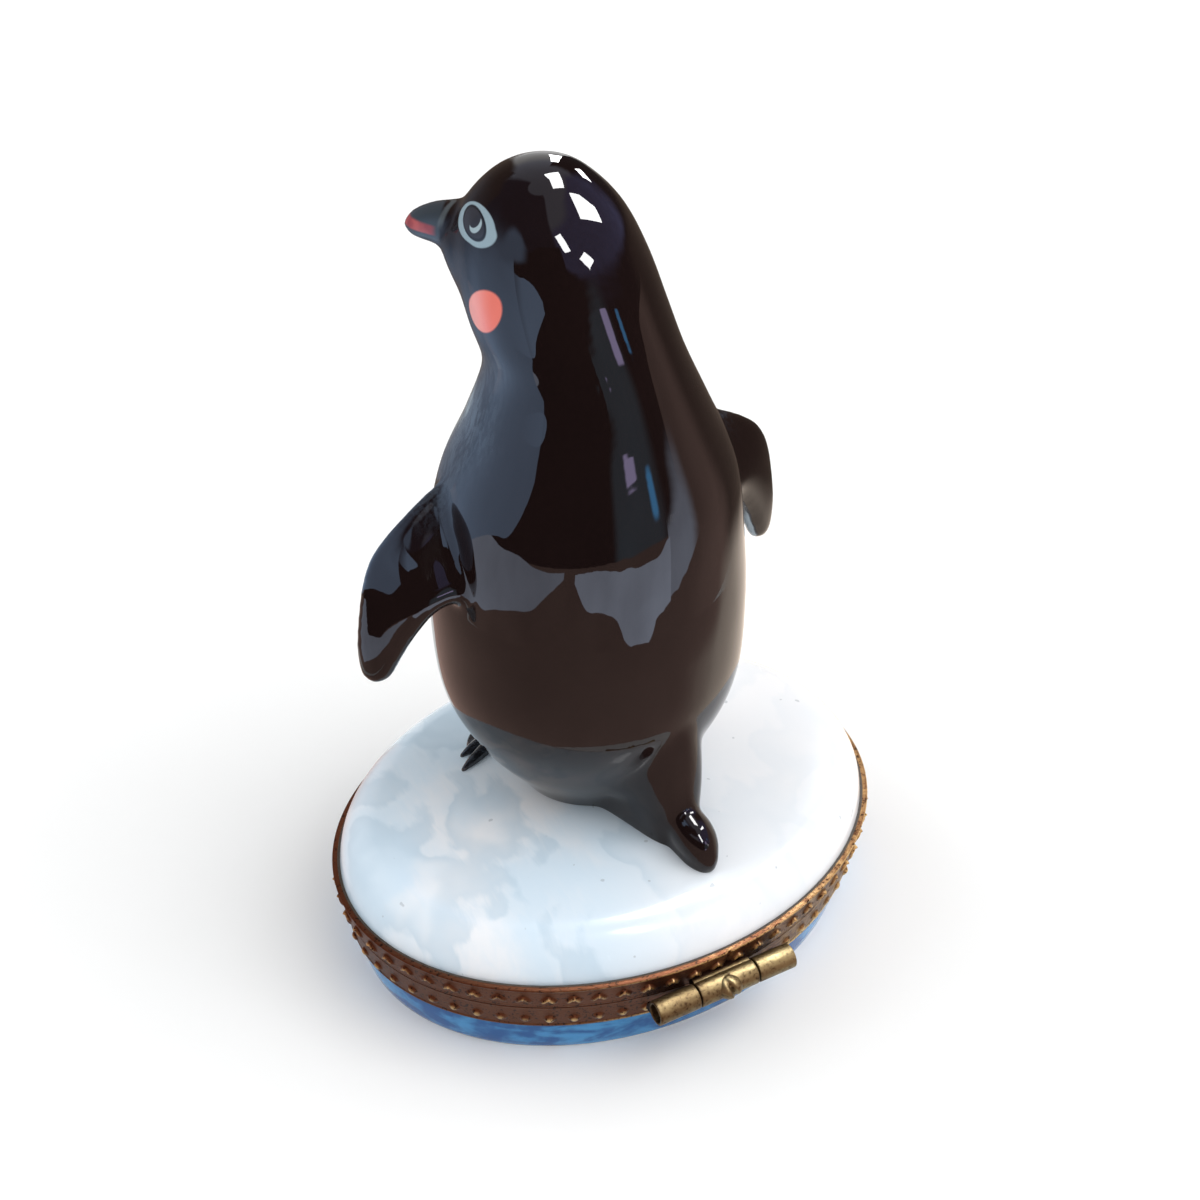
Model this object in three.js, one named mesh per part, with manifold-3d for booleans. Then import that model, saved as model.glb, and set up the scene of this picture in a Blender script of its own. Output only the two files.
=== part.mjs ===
// Oval porcelain trinket box. A black-glazed penguin stands on a snow-white domed lid, which is hinged
// to a shallow blue base. Both halves are edged with a brass mount.
// Millimetres, +Z up. The origin is the middle of the foot, +X runs along the oval, the clasp is at -Y
// and the hinge at +Y. The penguin stands facing the clasp, with its head turned to its left (+X).

import * as THREE from "three";
import { mergeVertices } from "three/addons/utils/BufferGeometryUtils.js";
import Module from "manifold-3d";

const wasm = await Module();
wasm.setup();

// Oval of the porcelain where the mounts grip it
const OVAL_LENGTH = 56;
const OVAL_WIDTH = 43.6;
const OVAL_SIDES = 48;

// Porcelain base
const BASE_HEIGHT = 4.6;
const BASE_WALL = 2.4;
const BASE_FLOOR = 2.2;
const FOOT_INSET = 0.6;
const WELL_ROUND = 2.2;

// Porcelain lid
const DOME_RISE = 5.6;
const SHOULDER_RISE = 4.9;
const SHOULDER_INSET = 4.4;
const LID_WALL = 2.2;
const VENT_DIAMETER = 4.2;

// Brass mounts, and the cement that beds them on the porcelain
const LOWER_BAND_HEIGHT = 3.3;
const UPPER_BAND_HEIGHT = 3;
const BAND_THICKNESS = 0.5;
const BAND_LEAN = 10.5;
const FLANGE_THICKNESS = 0.6;
const BEDDING_THICKNESS = 0.25;
const PARTING_GAP = 0.1;
const LIP_THICKNESS = 0.6;
const LIP_RISE = 1;
const LIP_DEPTH = 1.5;
const LIP_CLEARANCE = 0.3;

// Hinge
const KNUCKLE_DIAMETER = 2.5;
const PIN_DIAMETER = 1.2;
const PIN_CLEARANCE = 0.05;
const LEFT_KNUCKLE_LENGTH = 4.5;
const CENTRE_KNUCKLE_LENGTH = 6.4;
const RIGHT_KNUCKLE_LENGTH = 4.1;
const KNUCKLE_GAP = 0.15;
const SADDLE_HEIGHT = 1.1;
const BOSS_WIDTH = 2.6;
const BOSS_HEIGHT = 2.4;
const BOSS_RISE = 0.7;
const BOSS_TILT = 15;

// Clasp
const TONGUE_WIDTH = 6.4;
const TONGUE_TIP_WIDTH = 4.6;
const TONGUE_THICKNESS = 0.9;
const TONGUE_MARGIN = 0.35;
const STUD_DIAMETER = 1.4;
const STUD_LENGTH = 1.5;
const SLOT_CLEARANCE = 0.3;

// Penguin, measured up from the crown of the lid
const FIGURE_HEIGHT = 66.6;
const BODY_WIDTH = 30.8;
const BODY_DEPTH = 29.2;
const BODY_WALL = 2.2;
const BODY_FORWARD = 3.3;
const HEAD_TURN = 48;
const BEAK_HEIGHT = 60.4;
const BEAK_LENGTH = 4.8;
const BEAK_WIDTH = 4.4;
const BEAK_DEPTH = 4.2;
const SHOULDER_HEIGHT = 32.5;
const FLIPPER_WIDTH = 8.2;
const FLIPPER_THICKNESS = 3;
const LEFT_FLIPPER_REACH = 8.5;
const LEFT_FLIPPER_DROP = 11.4;
const LEFT_FLIPPER_SWEEP = 2;
const RIGHT_FLIPPER_REACH = 6.1;
const RIGHT_FLIPPER_DROP = 13.3;
const RIGHT_FLIPPER_SWEEP = -1.5;
const TAIL_LENGTH = 20.2;
const TAIL_WIDTH = 7;
const TAIL_THICKNESS = 6;
const TAIL_SIDE = -1.4;
const TAIL_TURN = 3;
const ANKLE_SIDE = 3.4;
const ANKLE_FORWARD = 8.4;
const TOE_LENGTH = 10;
const TOE_WIDTH = 1.3;
const TOE_HEIGHT = 0.9;
const WEB_HEIGHT = 0.6;

// Left between pieces that are luted or soldered together
const SEAM_GAP = 0.3;

// Outline of the body, neck and head: height, sideways lean, forward lean, width and depth,
// as shares of the figure's height, the body's width and the body's depth
const FIGURE_OUTLINE = [
  [-0.02, 0, -0.01, 0.44, 0.46],
  [0.03, 0, -0.01, 0.58, 0.6],
  [0.1, 0, -0.015, 0.79, 0.8],
  [0.19, 0, -0.01, 0.96, 0.96],
  [0.31, 0, 0, 1, 1],
  [0.42, 0, 0.01, 0.985, 0.98],
  [0.53, -0.012, 0.015, 0.91, 0.91],
  [0.63, -0.004, -0.003, 0.738, 0.738],
  [0.72, 0.008, -0.004, 0.594, 0.604],
  [0.79, 0.042, 0.034, 0.58, 0.585],
  [0.86, 0.072, 0.068, 0.556, 0.556],
  [0.925, 0.095, 0.083, 0.476, 0.476],
  [0.97, 0.096, 0.094, 0.315, 0.315],
  [0.992, 0.093, 0.087, 0.17, 0.17],
  [1, 0.09, 0.083, 0, 0],
];
const FIGURE_STEPS = 28;
const FIGURE_SIDES = 28;

// Sizes and levels that follow
const HALF_LENGTH = OVAL_LENGTH / 2;
const HALF_WIDTH = OVAL_WIDTH / 2;
const BAND_OUTSIDE = BEDDING_THICKNESS + BAND_THICKNESS;
const LOWER_MOUNT_TOP = BASE_HEIGHT + LOWER_BAND_HEIGHT;
const UPPER_MOUNT_BOTTOM = LOWER_MOUNT_TOP + PARTING_GAP;
const RIM = UPPER_MOUNT_BOTTOM + UPPER_BAND_HEIGHT;
const CROWN = RIM + DOME_RISE;
const BASE_NECK_TOP = LOWER_MOUNT_TOP - FLANGE_THICKNESS - BEDDING_THICKNESS;
const LID_NECK_BOTTOM = UPPER_MOUNT_BOTTOM + FLANGE_THICKNESS + BEDDING_THICKNESS;
const LIP_OUTSIDE = neck(LOWER_MOUNT_TOP) - BASE_WALL;
const UPPER_FLANGE_INSIDE = LIP_OUTSIDE + LIP_CLEARANCE;
const KNUCKLE_RADIUS = KNUCKLE_DIAMETER / 2;
const BORE_RADIUS = PIN_DIAMETER / 2 + PIN_CLEARANCE;
const HINGE_Z = (LOWER_MOUNT_TOP + UPPER_MOUNT_BOTTOM) / 2;
const HINGE_Y = HALF_WIDTH + neck(HINGE_Z) + BAND_OUTSIDE + SEAM_GAP + KNUCKLE_RADIUS;
const HINGE_LENGTH = LEFT_KNUCKLE_LENGTH + CENTRE_KNUCKLE_LENGTH + RIGHT_KNUCKLE_LENGTH + 2 * KNUCKLE_GAP;

// Materials
const snowGlaze = new THREE.MeshStandardMaterial({ color: 0xeef2f6, roughness: 0.15, metalness: 0 });
const blueGlaze = new THREE.MeshStandardMaterial({ color: 0x3d7cb3, roughness: 0.15, metalness: 0 });
const blackGlaze = new THREE.MeshStandardMaterial({ color: 0x1c1717, roughness: 0.12, metalness: 0 });
const mountBrass = new THREE.MeshStandardMaterial({ color: 0x96673a, roughness: 0.35, metalness: 1 });
const hingeBrass = new THREE.MeshStandardMaterial({ color: 0xcbb87f, roughness: 0.3, metalness: 1 });
const cement = new THREE.MeshStandardMaterial({ color: 0xd8d2c4, roughness: 0.85, metalness: 0 });

// Geometry helpers

// One ring of points round an ellipse
function ellipse(centre, across, along, sides) {
  const points = [];
  for (let i = 0; i < sides; i += 1) {
    const angle = (i / sides) * Math.PI * 2;
    const point = centre.clone();
    point.addScaledVector(across, Math.cos(angle));
    point.addScaledVector(along, Math.sin(angle));
    points.push(point);
  }
  return points;
}

// The ring that lies a given distance outside the reference oval
function oval(offset, height) {
  const across = new THREE.Vector3(HALF_LENGTH + offset, 0, 0);
  const along = new THREE.Vector3(0, HALF_WIDTH + offset, 0);
  return ellipse(new THREE.Vector3(0, 0, height), across, along, OVAL_SIDES);
}

// How far the porcelain under the mounts lies outside the reference oval: it draws in below the rim
function neck(height) {
  return (height - RIM) * Math.tan(THREE.MathUtils.degToRad(BAND_LEAN));
}

// The middle of a ring, as a ring of one point
function middleOf(ring) {
  const middle = new THREE.Vector3();
  ring.forEach((point) => middle.add(point));
  return [middle.divideScalar(ring.length)];
}

// A closed skin over a row of rings. A loop joins its last ring to its first; other rows are capped.
// Faces split along the same diagonal whichever way the row runs, so two skins can meet face to face.
function skin(row, isLoop = false) {
  const rings = isLoop ? [...row, row[0]] : [middleOf(row[0]), ...row, middleOf(row[row.length - 1])];
  const triangles = [];
  for (let i = 0; i + 1 < rings.length; i += 1) {
    const [lower, upper] = [rings[i], rings[i + 1]];
    const sides = Math.max(lower.length, upper.length);
    const isFalling = lower[0].z > upper[0].z;
    for (let j = 0; j < sides; j += 1) {
      const [a, b] = [lower[j % lower.length], lower[(j + 1) % lower.length]];
      const [d, c] = [upper[j % upper.length], upper[(j + 1) % upper.length]];
      if (!a.equals(b)) triangles.push([a, b, isFalling ? d : c]);
      if (!c.equals(d)) triangles.push([isFalling ? b : a, c, d]);
    }
  }
  const volume = triangles.reduce((sum, [a, b, c]) => sum + a.dot(b.clone().cross(c)), 0);
  if (volume < 0) triangles.forEach((triangle) => triangle.reverse());
  return new THREE.BufferGeometry().setFromPoints(triangles.flat());
}

// A solid whose sections are ellipses. Each station is a centre and two half-axes; a spline runs through them.
function loft(stations, steps, sides) {
  const [centres, acrosses, alongs] = [0, 1, 2].map((part) => {
    const points = stations.map((station) => station[part]);
    return new THREE.CatmullRomCurve3(points, false, "catmullrom", 0.5);
  });
  const rings = [];
  for (let i = 0; i <= steps; i += 1) {
    const share = i / steps;
    const across = acrosses.getPoint(share);
    const centre = centres.getPoint(share);
    const isPole = across.length() < 0.01;
    rings.push(isPole ? [centre] : ellipse(centre, across, alongs.getPoint(share), sides));
  }
  return skin(rings);
}

// Solids for cutting and joining

function toSolid(geometry) {
  const bare = geometry.clone();
  bare.deleteAttribute("normal");
  bare.deleteAttribute("uv");
  const merged = mergeVertices(bare, 1e-5);
  const mesh = new wasm.Mesh({
    numProp: 3,
    vertProperties: new Float32Array(merged.attributes.position.array),
    triVerts: new Uint32Array(merged.index.array),
  });
  return new wasm.Manifold(mesh);
}

function toGeometry(solid) {
  const mesh = solid.getMesh();
  const geometry = new THREE.BufferGeometry();
  geometry.setAttribute("position", new THREE.BufferAttribute(new Float32Array(mesh.vertProperties), 3));
  geometry.setIndex(new THREE.BufferAttribute(new Uint32Array(mesh.triVerts), 1));
  return geometry;
}

function join(...geometries) {
  return toGeometry(geometries.map(toSolid).reduce((sum, next) => sum.add(next)));
}

function cut(geometry, ...cutters) {
  return toGeometry(cutters.map(toSolid).reduce((rest, next) => rest.subtract(next), toSolid(geometry)));
}

function addPiece(group, name, geometry, material) {
  const shaded = geometry.index ? geometry.toNonIndexed() : geometry;
  shaded.computeVertexNormals();
  const mesh = new THREE.Mesh(shaded, material);
  mesh.name = name;
  group.add(mesh);
  return mesh;
}

// Base of blue-glazed porcelain: a shallow oval bowl on a flat foot

function baseBowl() {
  const waist = new THREE.Vector2(neck(BASE_HEIGHT), BASE_HEIGHT);
  const belly = new THREE.Vector2(waist.x, BASE_HEIGHT * 0.2);
  const foot = new THREE.Vector2(waist.x - FOOT_INSET, 0);
  const outside = new THREE.QuadraticBezierCurve(foot, belly, waist).getPoints(5);
  const wallFoot = new THREE.Vector2(LIP_OUTSIDE, BASE_FLOOR + WELL_ROUND);
  const wellCorner = new THREE.Vector2(LIP_OUTSIDE, BASE_FLOOR);
  const floorEdge = new THREE.Vector2(LIP_OUTSIDE - WELL_ROUND, BASE_FLOOR);
  const inside = new THREE.QuadraticBezierCurve(wallFoot, wellCorner, floorEdge).getPoints(4);
  const rings = outside.map((point) => oval(point.x, point.y));
  rings.push(oval(neck(BASE_NECK_TOP), BASE_NECK_TOP), oval(LIP_OUTSIDE, BASE_NECK_TOP));
  inside.forEach((point) => rings.push(oval(point.x, point.y)));
  return skin(rings);
}

// Mounts: a band round the porcelain and a flange over its edge, bedded in cement

// An angle-section ring over the porcelain's neck, from its free edge to its flat face
function angleRing(inner, outer, inside, edge, step, face) {
  const profile = [
    [neck(edge) + outer, edge],
    [neck(face) + outer, face],
    [inside, face],
    [inside, step],
    [neck(step) + inner, step],
    [neck(edge) + inner, edge],
  ];
  return skin(profile.map(([offset, height]) => oval(offset, height)), true);
}

function lowerMount() {
  const step = LOWER_MOUNT_TOP - FLANGE_THICKNESS;
  return angleRing(BEDDING_THICKNESS, BAND_OUTSIDE, LIP_OUTSIDE, BASE_HEIGHT, step, LOWER_MOUNT_TOP);
}

function lowerBedding() {
  const face = LOWER_MOUNT_TOP - FLANGE_THICKNESS;
  return angleRing(0, BEDDING_THICKNESS, LIP_OUTSIDE, BASE_HEIGHT, BASE_NECK_TOP, face);
}

function upperMount() {
  const step = UPPER_MOUNT_BOTTOM + FLANGE_THICKNESS;
  return angleRing(BEDDING_THICKNESS, BAND_OUTSIDE, UPPER_FLANGE_INSIDE, RIM, step, UPPER_MOUNT_BOTTOM);
}

function upperBedding() {
  const face = UPPER_MOUNT_BOTTOM + FLANGE_THICKNESS;
  return angleRing(0, BEDDING_THICKNESS, UPPER_FLANGE_INSIDE, RIM, LID_NECK_BOTTOM, face);
}

// The lip stands up inside the lower mount and keys the closed lid
function lowerMountLip() {
  const inside = LIP_OUTSIDE - LIP_THICKNESS;
  const [bottom, top] = [LOWER_MOUNT_TOP - LIP_DEPTH, LOWER_MOUNT_TOP + LIP_RISE];
  const profile = [[LIP_OUTSIDE, bottom], [LIP_OUTSIDE, top], [inside, top], [inside, bottom]];
  return skin(profile.map(([offset, height]) => oval(offset, height)), true);
}

// Lid of white-glazed porcelain: a hollow oval dome with a rounded shoulder

// Rings from the rim over the shoulder to the crown, with the whole surface moved in or out by a growth
function domeRings(growth, shoulderSteps, crownSteps) {
  const rings = [];
  for (let i = 0; i <= shoulderSteps; i += 1) {
    const angle = (i / shoulderSteps) * (Math.PI / 2);
    const inset = SHOULDER_INSET * (1 - Math.cos(angle));
    rings.push(oval(growth - inset, RIM + SHOULDER_RISE * Math.sin(angle) + growth));
  }
  const shoulder = rings[shoulderSteps];
  for (let i = 1; i < crownSteps; i += 1) {
    const share = 1 - i / crownSteps;
    const height = RIM + SHOULDER_RISE + (DOME_RISE - SHOULDER_RISE) * (1 - share * share) + growth;
    rings.push(shoulder.map((point) => new THREE.Vector3(point.x * share, point.y * share, height)));
  }
  rings.push([new THREE.Vector3(0, 0, CROWN + growth)]);
  return rings;
}

function crownHeight(x, y) {
  const share = Math.hypot(x / (HALF_LENGTH - SHOULDER_INSET), y / (HALF_WIDTH - SHOULDER_INSET));
  return CROWN - (DOME_RISE - SHOULDER_RISE) * share * share;
}

function lidDome() {
  const outside = domeRings(0, 5, 4);
  const inside = domeRings(-LID_WALL, 4, 3).slice(1);
  const edge = [oval(UPPER_FLANGE_INSIDE, LID_NECK_BOTTOM), oval(neck(LID_NECK_BOTTOM), LID_NECK_BOTTOM)];
  const shell = skin([...inside.reverse(), ...edge, ...outside]);
  const vent = new THREE.CylinderGeometry(VENT_DIAMETER / 2, VENT_DIAMETER / 2, CROWN, 24);
  vent.rotateX(Math.PI / 2);
  vent.translate(0, -BODY_FORWARD, CROWN);
  return cut(shell, vent);
}

// What a piece standing on the lid is cut by
function lidSeat() {
  return skin([oval(SEAM_GAP, RIM - LID_WALL), ...domeRings(SEAM_GAP, 5, 4)]);
}

// What a piece soldered to the mounts is cut by
function bandSeat() {
  return skin([0, RIM].map((height) => oval(neck(height) + BAND_OUTSIDE + SEAM_GAP, height)));
}

// Hinge: three knuckles on one pin. The outer two are fixed to the lower mount, the centre one to the upper.

function tubeAlongX(radius, length, x) {
  const tube = new THREE.CylinderGeometry(radius, radius, length, 24);
  tube.rotateZ(Math.PI / 2);
  tube.translate(x, HINGE_Y, HINGE_Z);
  return tube;
}

function boxBetween(low, high) {
  const size = high.clone().sub(low);
  const box = new THREE.BoxGeometry(size.x, size.y, size.z);
  const middle = low.clone().add(high).multiplyScalar(0.5);
  box.translate(middle.x, middle.y, middle.z);
  return box;
}

function knuckle(length, x, saddleBottom, saddleTop) {
  const barrel = tubeAlongX(KNUCKLE_RADIUS, length, x);
  const saddleLow = new THREE.Vector3(x - length / 2, HALF_WIDTH - KNUCKLE_RADIUS, saddleBottom);
  const saddleHigh = new THREE.Vector3(x + length / 2, HINGE_Y, saddleTop);
  const bore = tubeAlongX(BORE_RADIUS, length * 2, x);
  return cut(join(barrel, boxBetween(saddleLow, saddleHigh)), bandSeat(), bore);
}

function leftKnuckleX() {
  return HINGE_LENGTH / 2 - LEFT_KNUCKLE_LENGTH / 2;
}

function centreKnuckleX() {
  return HINGE_LENGTH / 2 - LEFT_KNUCKLE_LENGTH - KNUCKLE_GAP - CENTRE_KNUCKLE_LENGTH / 2;
}

function rightKnuckleX() {
  return RIGHT_KNUCKLE_LENGTH / 2 - HINGE_LENGTH / 2;
}

function outerKnuckle(length, x) {
  return knuckle(length, x, HINGE_Z - SADDLE_HEIGHT, LOWER_MOUNT_TOP);
}

// The centre knuckle swells into a small boss on its outer side
function centreKnuckle() {
  const plain = knuckle(CENTRE_KNUCKLE_LENGTH, centreKnuckleX(), UPPER_MOUNT_BOTTOM, HINGE_Z + SADDLE_HEIGHT);
  const boss = new THREE.SphereGeometry(1, 16, 10);
  boss.scale(BOSS_WIDTH / 2, BOSS_RISE * 2, BOSS_HEIGHT / 2);
  boss.translate(0, KNUCKLE_RADIUS - BOSS_RISE, 0);
  boss.rotateX(THREE.MathUtils.degToRad(BOSS_TILT));
  boss.translate(centreKnuckleX(), HINGE_Y, HINGE_Z);
  const bore = tubeAlongX(BORE_RADIUS, CENTRE_KNUCKLE_LENGTH * 2, centreKnuckleX());
  return cut(join(plain, boss), bandSeat(), bore);
}

function hingePin() {
  return tubeAlongX(PIN_DIAMETER / 2, HINGE_LENGTH, 0);
}

// Clasp: a slotted tongue on the upper mount drops over a stud on the lower one

// What the tongue is cut by: it follows the upper band, and hangs straight down past the lower one
function tongueSeat() {
  return skin([0, HINGE_Z, RIM].map((height) => {
    return oval(neck(Math.max(height, HINGE_Z)) + BAND_OUTSIDE + SEAM_GAP, height);
  }));
}

function claspTongue() {
  const [top, bottom] = [RIM - TONGUE_MARGIN, BASE_HEIGHT + TONGUE_MARGIN];
  const studHeight = BASE_HEIGHT + LOWER_BAND_HEIGHT / 2;
  const slot = STUD_DIAMETER / 2 + SLOT_CLEARANCE;
  const outline = new THREE.Shape();
  outline.moveTo(slot, bottom);
  outline.lineTo(TONGUE_TIP_WIDTH / 2, bottom);
  outline.quadraticCurveTo(TONGUE_TIP_WIDTH / 2, UPPER_MOUNT_BOTTOM, TONGUE_WIDTH / 2, UPPER_MOUNT_BOTTOM);
  outline.quadraticCurveTo(TONGUE_WIDTH / 2, top, 0, top);
  outline.quadraticCurveTo(-TONGUE_WIDTH / 2, top, -TONGUE_WIDTH / 2, UPPER_MOUNT_BOTTOM);
  outline.quadraticCurveTo(-TONGUE_TIP_WIDTH / 2, UPPER_MOUNT_BOTTOM, -TONGUE_TIP_WIDTH / 2, bottom);
  outline.lineTo(-slot, bottom);
  outline.lineTo(-slot, studHeight);
  outline.absarc(0, studHeight, slot, Math.PI, 0, true);
  const plateDepth = TONGUE_THICKNESS + TONGUE_WIDTH / 2;
  const settings = { depth: plateDepth, bevelEnabled: false, curveSegments: 8 };
  const plate = new THREE.ExtrudeGeometry(outline, settings);
  plate.rotateX(Math.PI / 2);
  plate.translate(0, -(HALF_WIDTH + BAND_OUTSIDE + SEAM_GAP + TONGUE_THICKNESS) + plateDepth, 0);
  return cut(plate, tongueSeat());
}

function claspStud() {
  const studHeight = BASE_HEIGHT + LOWER_BAND_HEIGHT / 2;
  const stud = new THREE.CylinderGeometry(STUD_DIAMETER / 2, STUD_DIAMETER / 2, STUD_LENGTH, 20);
  const studRoot = HALF_WIDTH + neck(BASE_HEIGHT + LOWER_BAND_HEIGHT) + BAND_OUTSIDE;
  stud.translate(0, -(studRoot + STUD_LENGTH / 2), studHeight);
  return cut(stud, bandSeat());
}

// Penguin: a hollow cast body, neck and head, with beak, flippers, tail and feet luted on

// Centre and half-axes of the figure along its outline, with the surface moved in or out by a growth
function figureSections(growth) {
  const centres = FIGURE_OUTLINE.map(([height, side, forward]) => new THREE.Vector3(
    side * BODY_WIDTH,
    -BODY_FORWARD - forward * BODY_DEPTH,
    CROWN + height * FIGURE_HEIGHT,
  ));
  const halves = FIGURE_OUTLINE.map(([, , , width, depth]) => new THREE.Vector3(
    (width * BODY_WIDTH) / 2,
    (depth * BODY_DEPTH) / 2,
    0,
  ));
  const spine = new THREE.CatmullRomCurve3(centres, false, "catmullrom", 0.5);
  const girth = new THREE.CatmullRomCurve3(halves, false, "catmullrom", 0.5);
  const sections = [];
  for (let i = 0; i < FIGURE_STEPS; i += 1) {
    const half = girth.getPoint(i / FIGURE_STEPS);
    sections.push({ centre: spine.getPoint(i / FIGURE_STEPS), width: half.x + growth, depth: half.y + growth });
  }
  const top = spine.getPoint(1);
  top.z += growth;
  const highest = top.z + Math.min(growth, 0);
  return { sections: sections.filter((section) => section.centre.z < highest), top };
}

function figureSkin(growth, sides) {
  const { sections, top } = figureSections(growth);
  const rings = sections.map(({ centre, width, depth }) => {
    return ellipse(centre, new THREE.Vector3(width, 0, 0), new THREE.Vector3(0, depth, 0), sides);
  });
  return skin([...rings, [top]]);
}

// The figure's section nearest to a height above the crown
function figureAt(height) {
  const { sections } = figureSections(0);
  const away = (section) => Math.abs(section.centre.z - CROWN - height);
  return sections.reduce((best, next) => (away(next) < away(best) ? next : best));
}

function penguinBody() {
  return cut(figureSkin(0, FIGURE_SIDES), figureSkin(-BODY_WALL, FIGURE_SIDES / 2), lidSeat());
}

// What a piece luted to the body is cut by
function bodySeat() {
  return figureSkin(SEAM_GAP, FIGURE_SIDES);
}

function beak() {
  const head = figureAt(BEAK_HEIGHT);
  const turn = THREE.MathUtils.degToRad(HEAD_TURN);
  const gaze = new THREE.Vector3(Math.sin(turn), -Math.cos(turn), 0);
  const across = new THREE.Vector3(Math.cos(turn), Math.sin(turn), 0);
  const cheek = Math.hypot(gaze.x * head.width, gaze.y * head.depth);
  const reach = cheek + BEAK_LENGTH;
  const station = (along, drop, size) => {
    const centre = head.centre.clone().addScaledVector(gaze, reach * along);
    centre.z = CROWN + BEAK_HEIGHT - drop * BEAK_DEPTH;
    const up = new THREE.Vector3(0, 0, (BEAK_DEPTH / 2) * size);
    return [centre, across.clone().multiplyScalar((BEAK_WIDTH / 2) * size), up];
  };
  const stations = [
    station(0.4, 0.2, 1.25),
    station(0.62, 0.2, 1),
    station(0.8, 0.2, 0.74),
    station(0.95, 0.28, 0.44),
    station(1, 0.34, 0),
  ];
  return cut(loft(stations, 8, 14), bodySeat());
}

// A flipper leaves the body at the shoulder, reaches outwards and droops to its tip
function flipper(side, reach, drop, sweep) {
  const shoulder = figureAt(SHOULDER_HEIGHT);
  const facing = new THREE.Vector3(0.2 * side, 0.85, 0.45).normalize();
  const bends = [[-0.4, -0.1], [0, 0], [0.55, 0.18], [0.84, 0.6], [0.96, 0.92], [0.98, 1]];
  const path = bends.map(([out, down]) => new THREE.Vector3(
    shoulder.centre.x + side * (shoulder.width + reach * out),
    shoulder.centre.y + sweep * out,
    CROWN + SHOULDER_HEIGHT - drop * down,
  ));
  const spine = new THREE.CatmullRomCurve3(path, false, "catmullrom", 0.5);
  const sizes = [0.9, 1, 0.84, 0.58, 0.34, 0];
  const stations = path.map((centre, i) => {
    const heading = spine.getTangent(i / (path.length - 1));
    const chord = heading.clone().cross(facing).normalize();
    const thick = chord.clone().cross(heading).normalize();
    chord.multiplyScalar((FLIPPER_WIDTH / 2) * sizes[i]);
    return [centre, chord, thick.multiplyScalar((FLIPPER_THICKNESS / 2) * Math.sqrt(sizes[i]))];
  });
  return cut(loft(stations, 15, 14), bodySeat());
}

// The tail runs back from the body and lies down on the lid
function tail() {
  const hip = figureAt(0);
  const turn = THREE.MathUtils.degToRad(TAIL_TURN);
  const back = new THREE.Vector3(-Math.sin(turn), Math.cos(turn), 0);
  const across = new THREE.Vector3(Math.cos(turn), Math.sin(turn), 0);
  const station = (along, rise, width, thickness) => {
    const centre = hip.centre.clone().addScaledVector(back, TAIL_LENGTH * along);
    centre.x += TAIL_SIDE;
    centre.z = crownHeight(centre.x, centre.y) + rise * TAIL_THICKNESS;
    const slope = new THREE.Vector3(0, 0, 1).addScaledVector(back, 0.35).normalize();
    return [
      centre,
      across.clone().multiplyScalar((TAIL_WIDTH / 2) * width),
      slope.multiplyScalar((TAIL_THICKNESS / 2) * thickness),
    ];
  };
  const stations = [
    station(0.2, 1.6, 1.3, 1.4),
    station(0.45, 0.85, 1.06, 1.1),
    station(0.7, 0.45, 0.85, 0.8),
    station(0.9, 0.3, 0.62, 0.6),
    station(1, 0.22, 0, 0),
  ];
  return cut(loft(stations, 12, 16), bodySeat(), lidSeat());
}

// A foot is three toes that fan out to the side along the snow, joined by a web
function foot(side) {
  const ankle = new THREE.Vector3(side * ANKLE_SIDE, -BODY_FORWARD - ANKLE_FORWARD, 0);
  const ray = (heading, length, width, height) => {
    const angle = THREE.MathUtils.degToRad(heading);
    const ahead = new THREE.Vector3(side * Math.cos(angle), Math.sin(angle), 0);
    const across = new THREE.Vector3(-ahead.y, ahead.x, 0);
    const stations = [[0.3, 1], [0.55, 1.1], [0.8, 0.85], [1, 0]].map(([along, size]) => {
      const centre = ankle.clone().addScaledVector(ahead, TOE_LENGTH * length * along);
      centre.z = crownHeight(centre.x, centre.y) + SEAM_GAP;
      const up = new THREE.Vector3(0, 0, height * size);
      return [centre, across.clone().multiplyScalar((width / 2) * size), up];
    });
    return loft(stations, 6, 10);
  };
  const web = ray(15, 0.72, TOE_WIDTH * 3, WEB_HEIGHT);
  const toes = [[5, 0.58], [15.8, 0.85], [25.7, 1]].map(([heading, length]) => {
    return ray(heading, length, TOE_WIDTH, TOE_HEIGHT);
  });
  return cut(join(web, ...toes), bodySeat(), lidSeat());
}

// Assembly

const box = new THREE.Group();
box.name = "penguin_trinket_box";
const base = new THREE.Group();
base.name = "base";
const lid = new THREE.Group();
lid.name = "lid";
const figure = new THREE.Group();
figure.name = "figure";
box.add(base, lid);
lid.add(figure);

addPiece(base, "base_bowl", baseBowl(), blueGlaze);
addPiece(base, "lower_bedding", lowerBedding(), cement);
addPiece(base, "lower_mount", lowerMount(), mountBrass);
addPiece(base, "lower_mount_lip", lowerMountLip(), mountBrass);
addPiece(base, "hinge_knuckle_left", outerKnuckle(LEFT_KNUCKLE_LENGTH, leftKnuckleX()), hingeBrass);
addPiece(base, "hinge_knuckle_right", outerKnuckle(RIGHT_KNUCKLE_LENGTH, rightKnuckleX()), hingeBrass);
addPiece(base, "hinge_pin", hingePin(), hingeBrass);
addPiece(base, "clasp_stud", claspStud(), hingeBrass);

addPiece(lid, "lid_dome", lidDome(), snowGlaze);
addPiece(lid, "upper_bedding", upperBedding(), cement);
addPiece(lid, "upper_mount", upperMount(), mountBrass);
addPiece(lid, "hinge_knuckle_centre", centreKnuckle(), hingeBrass);
addPiece(lid, "clasp_tongue", claspTongue(), hingeBrass);

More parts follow.
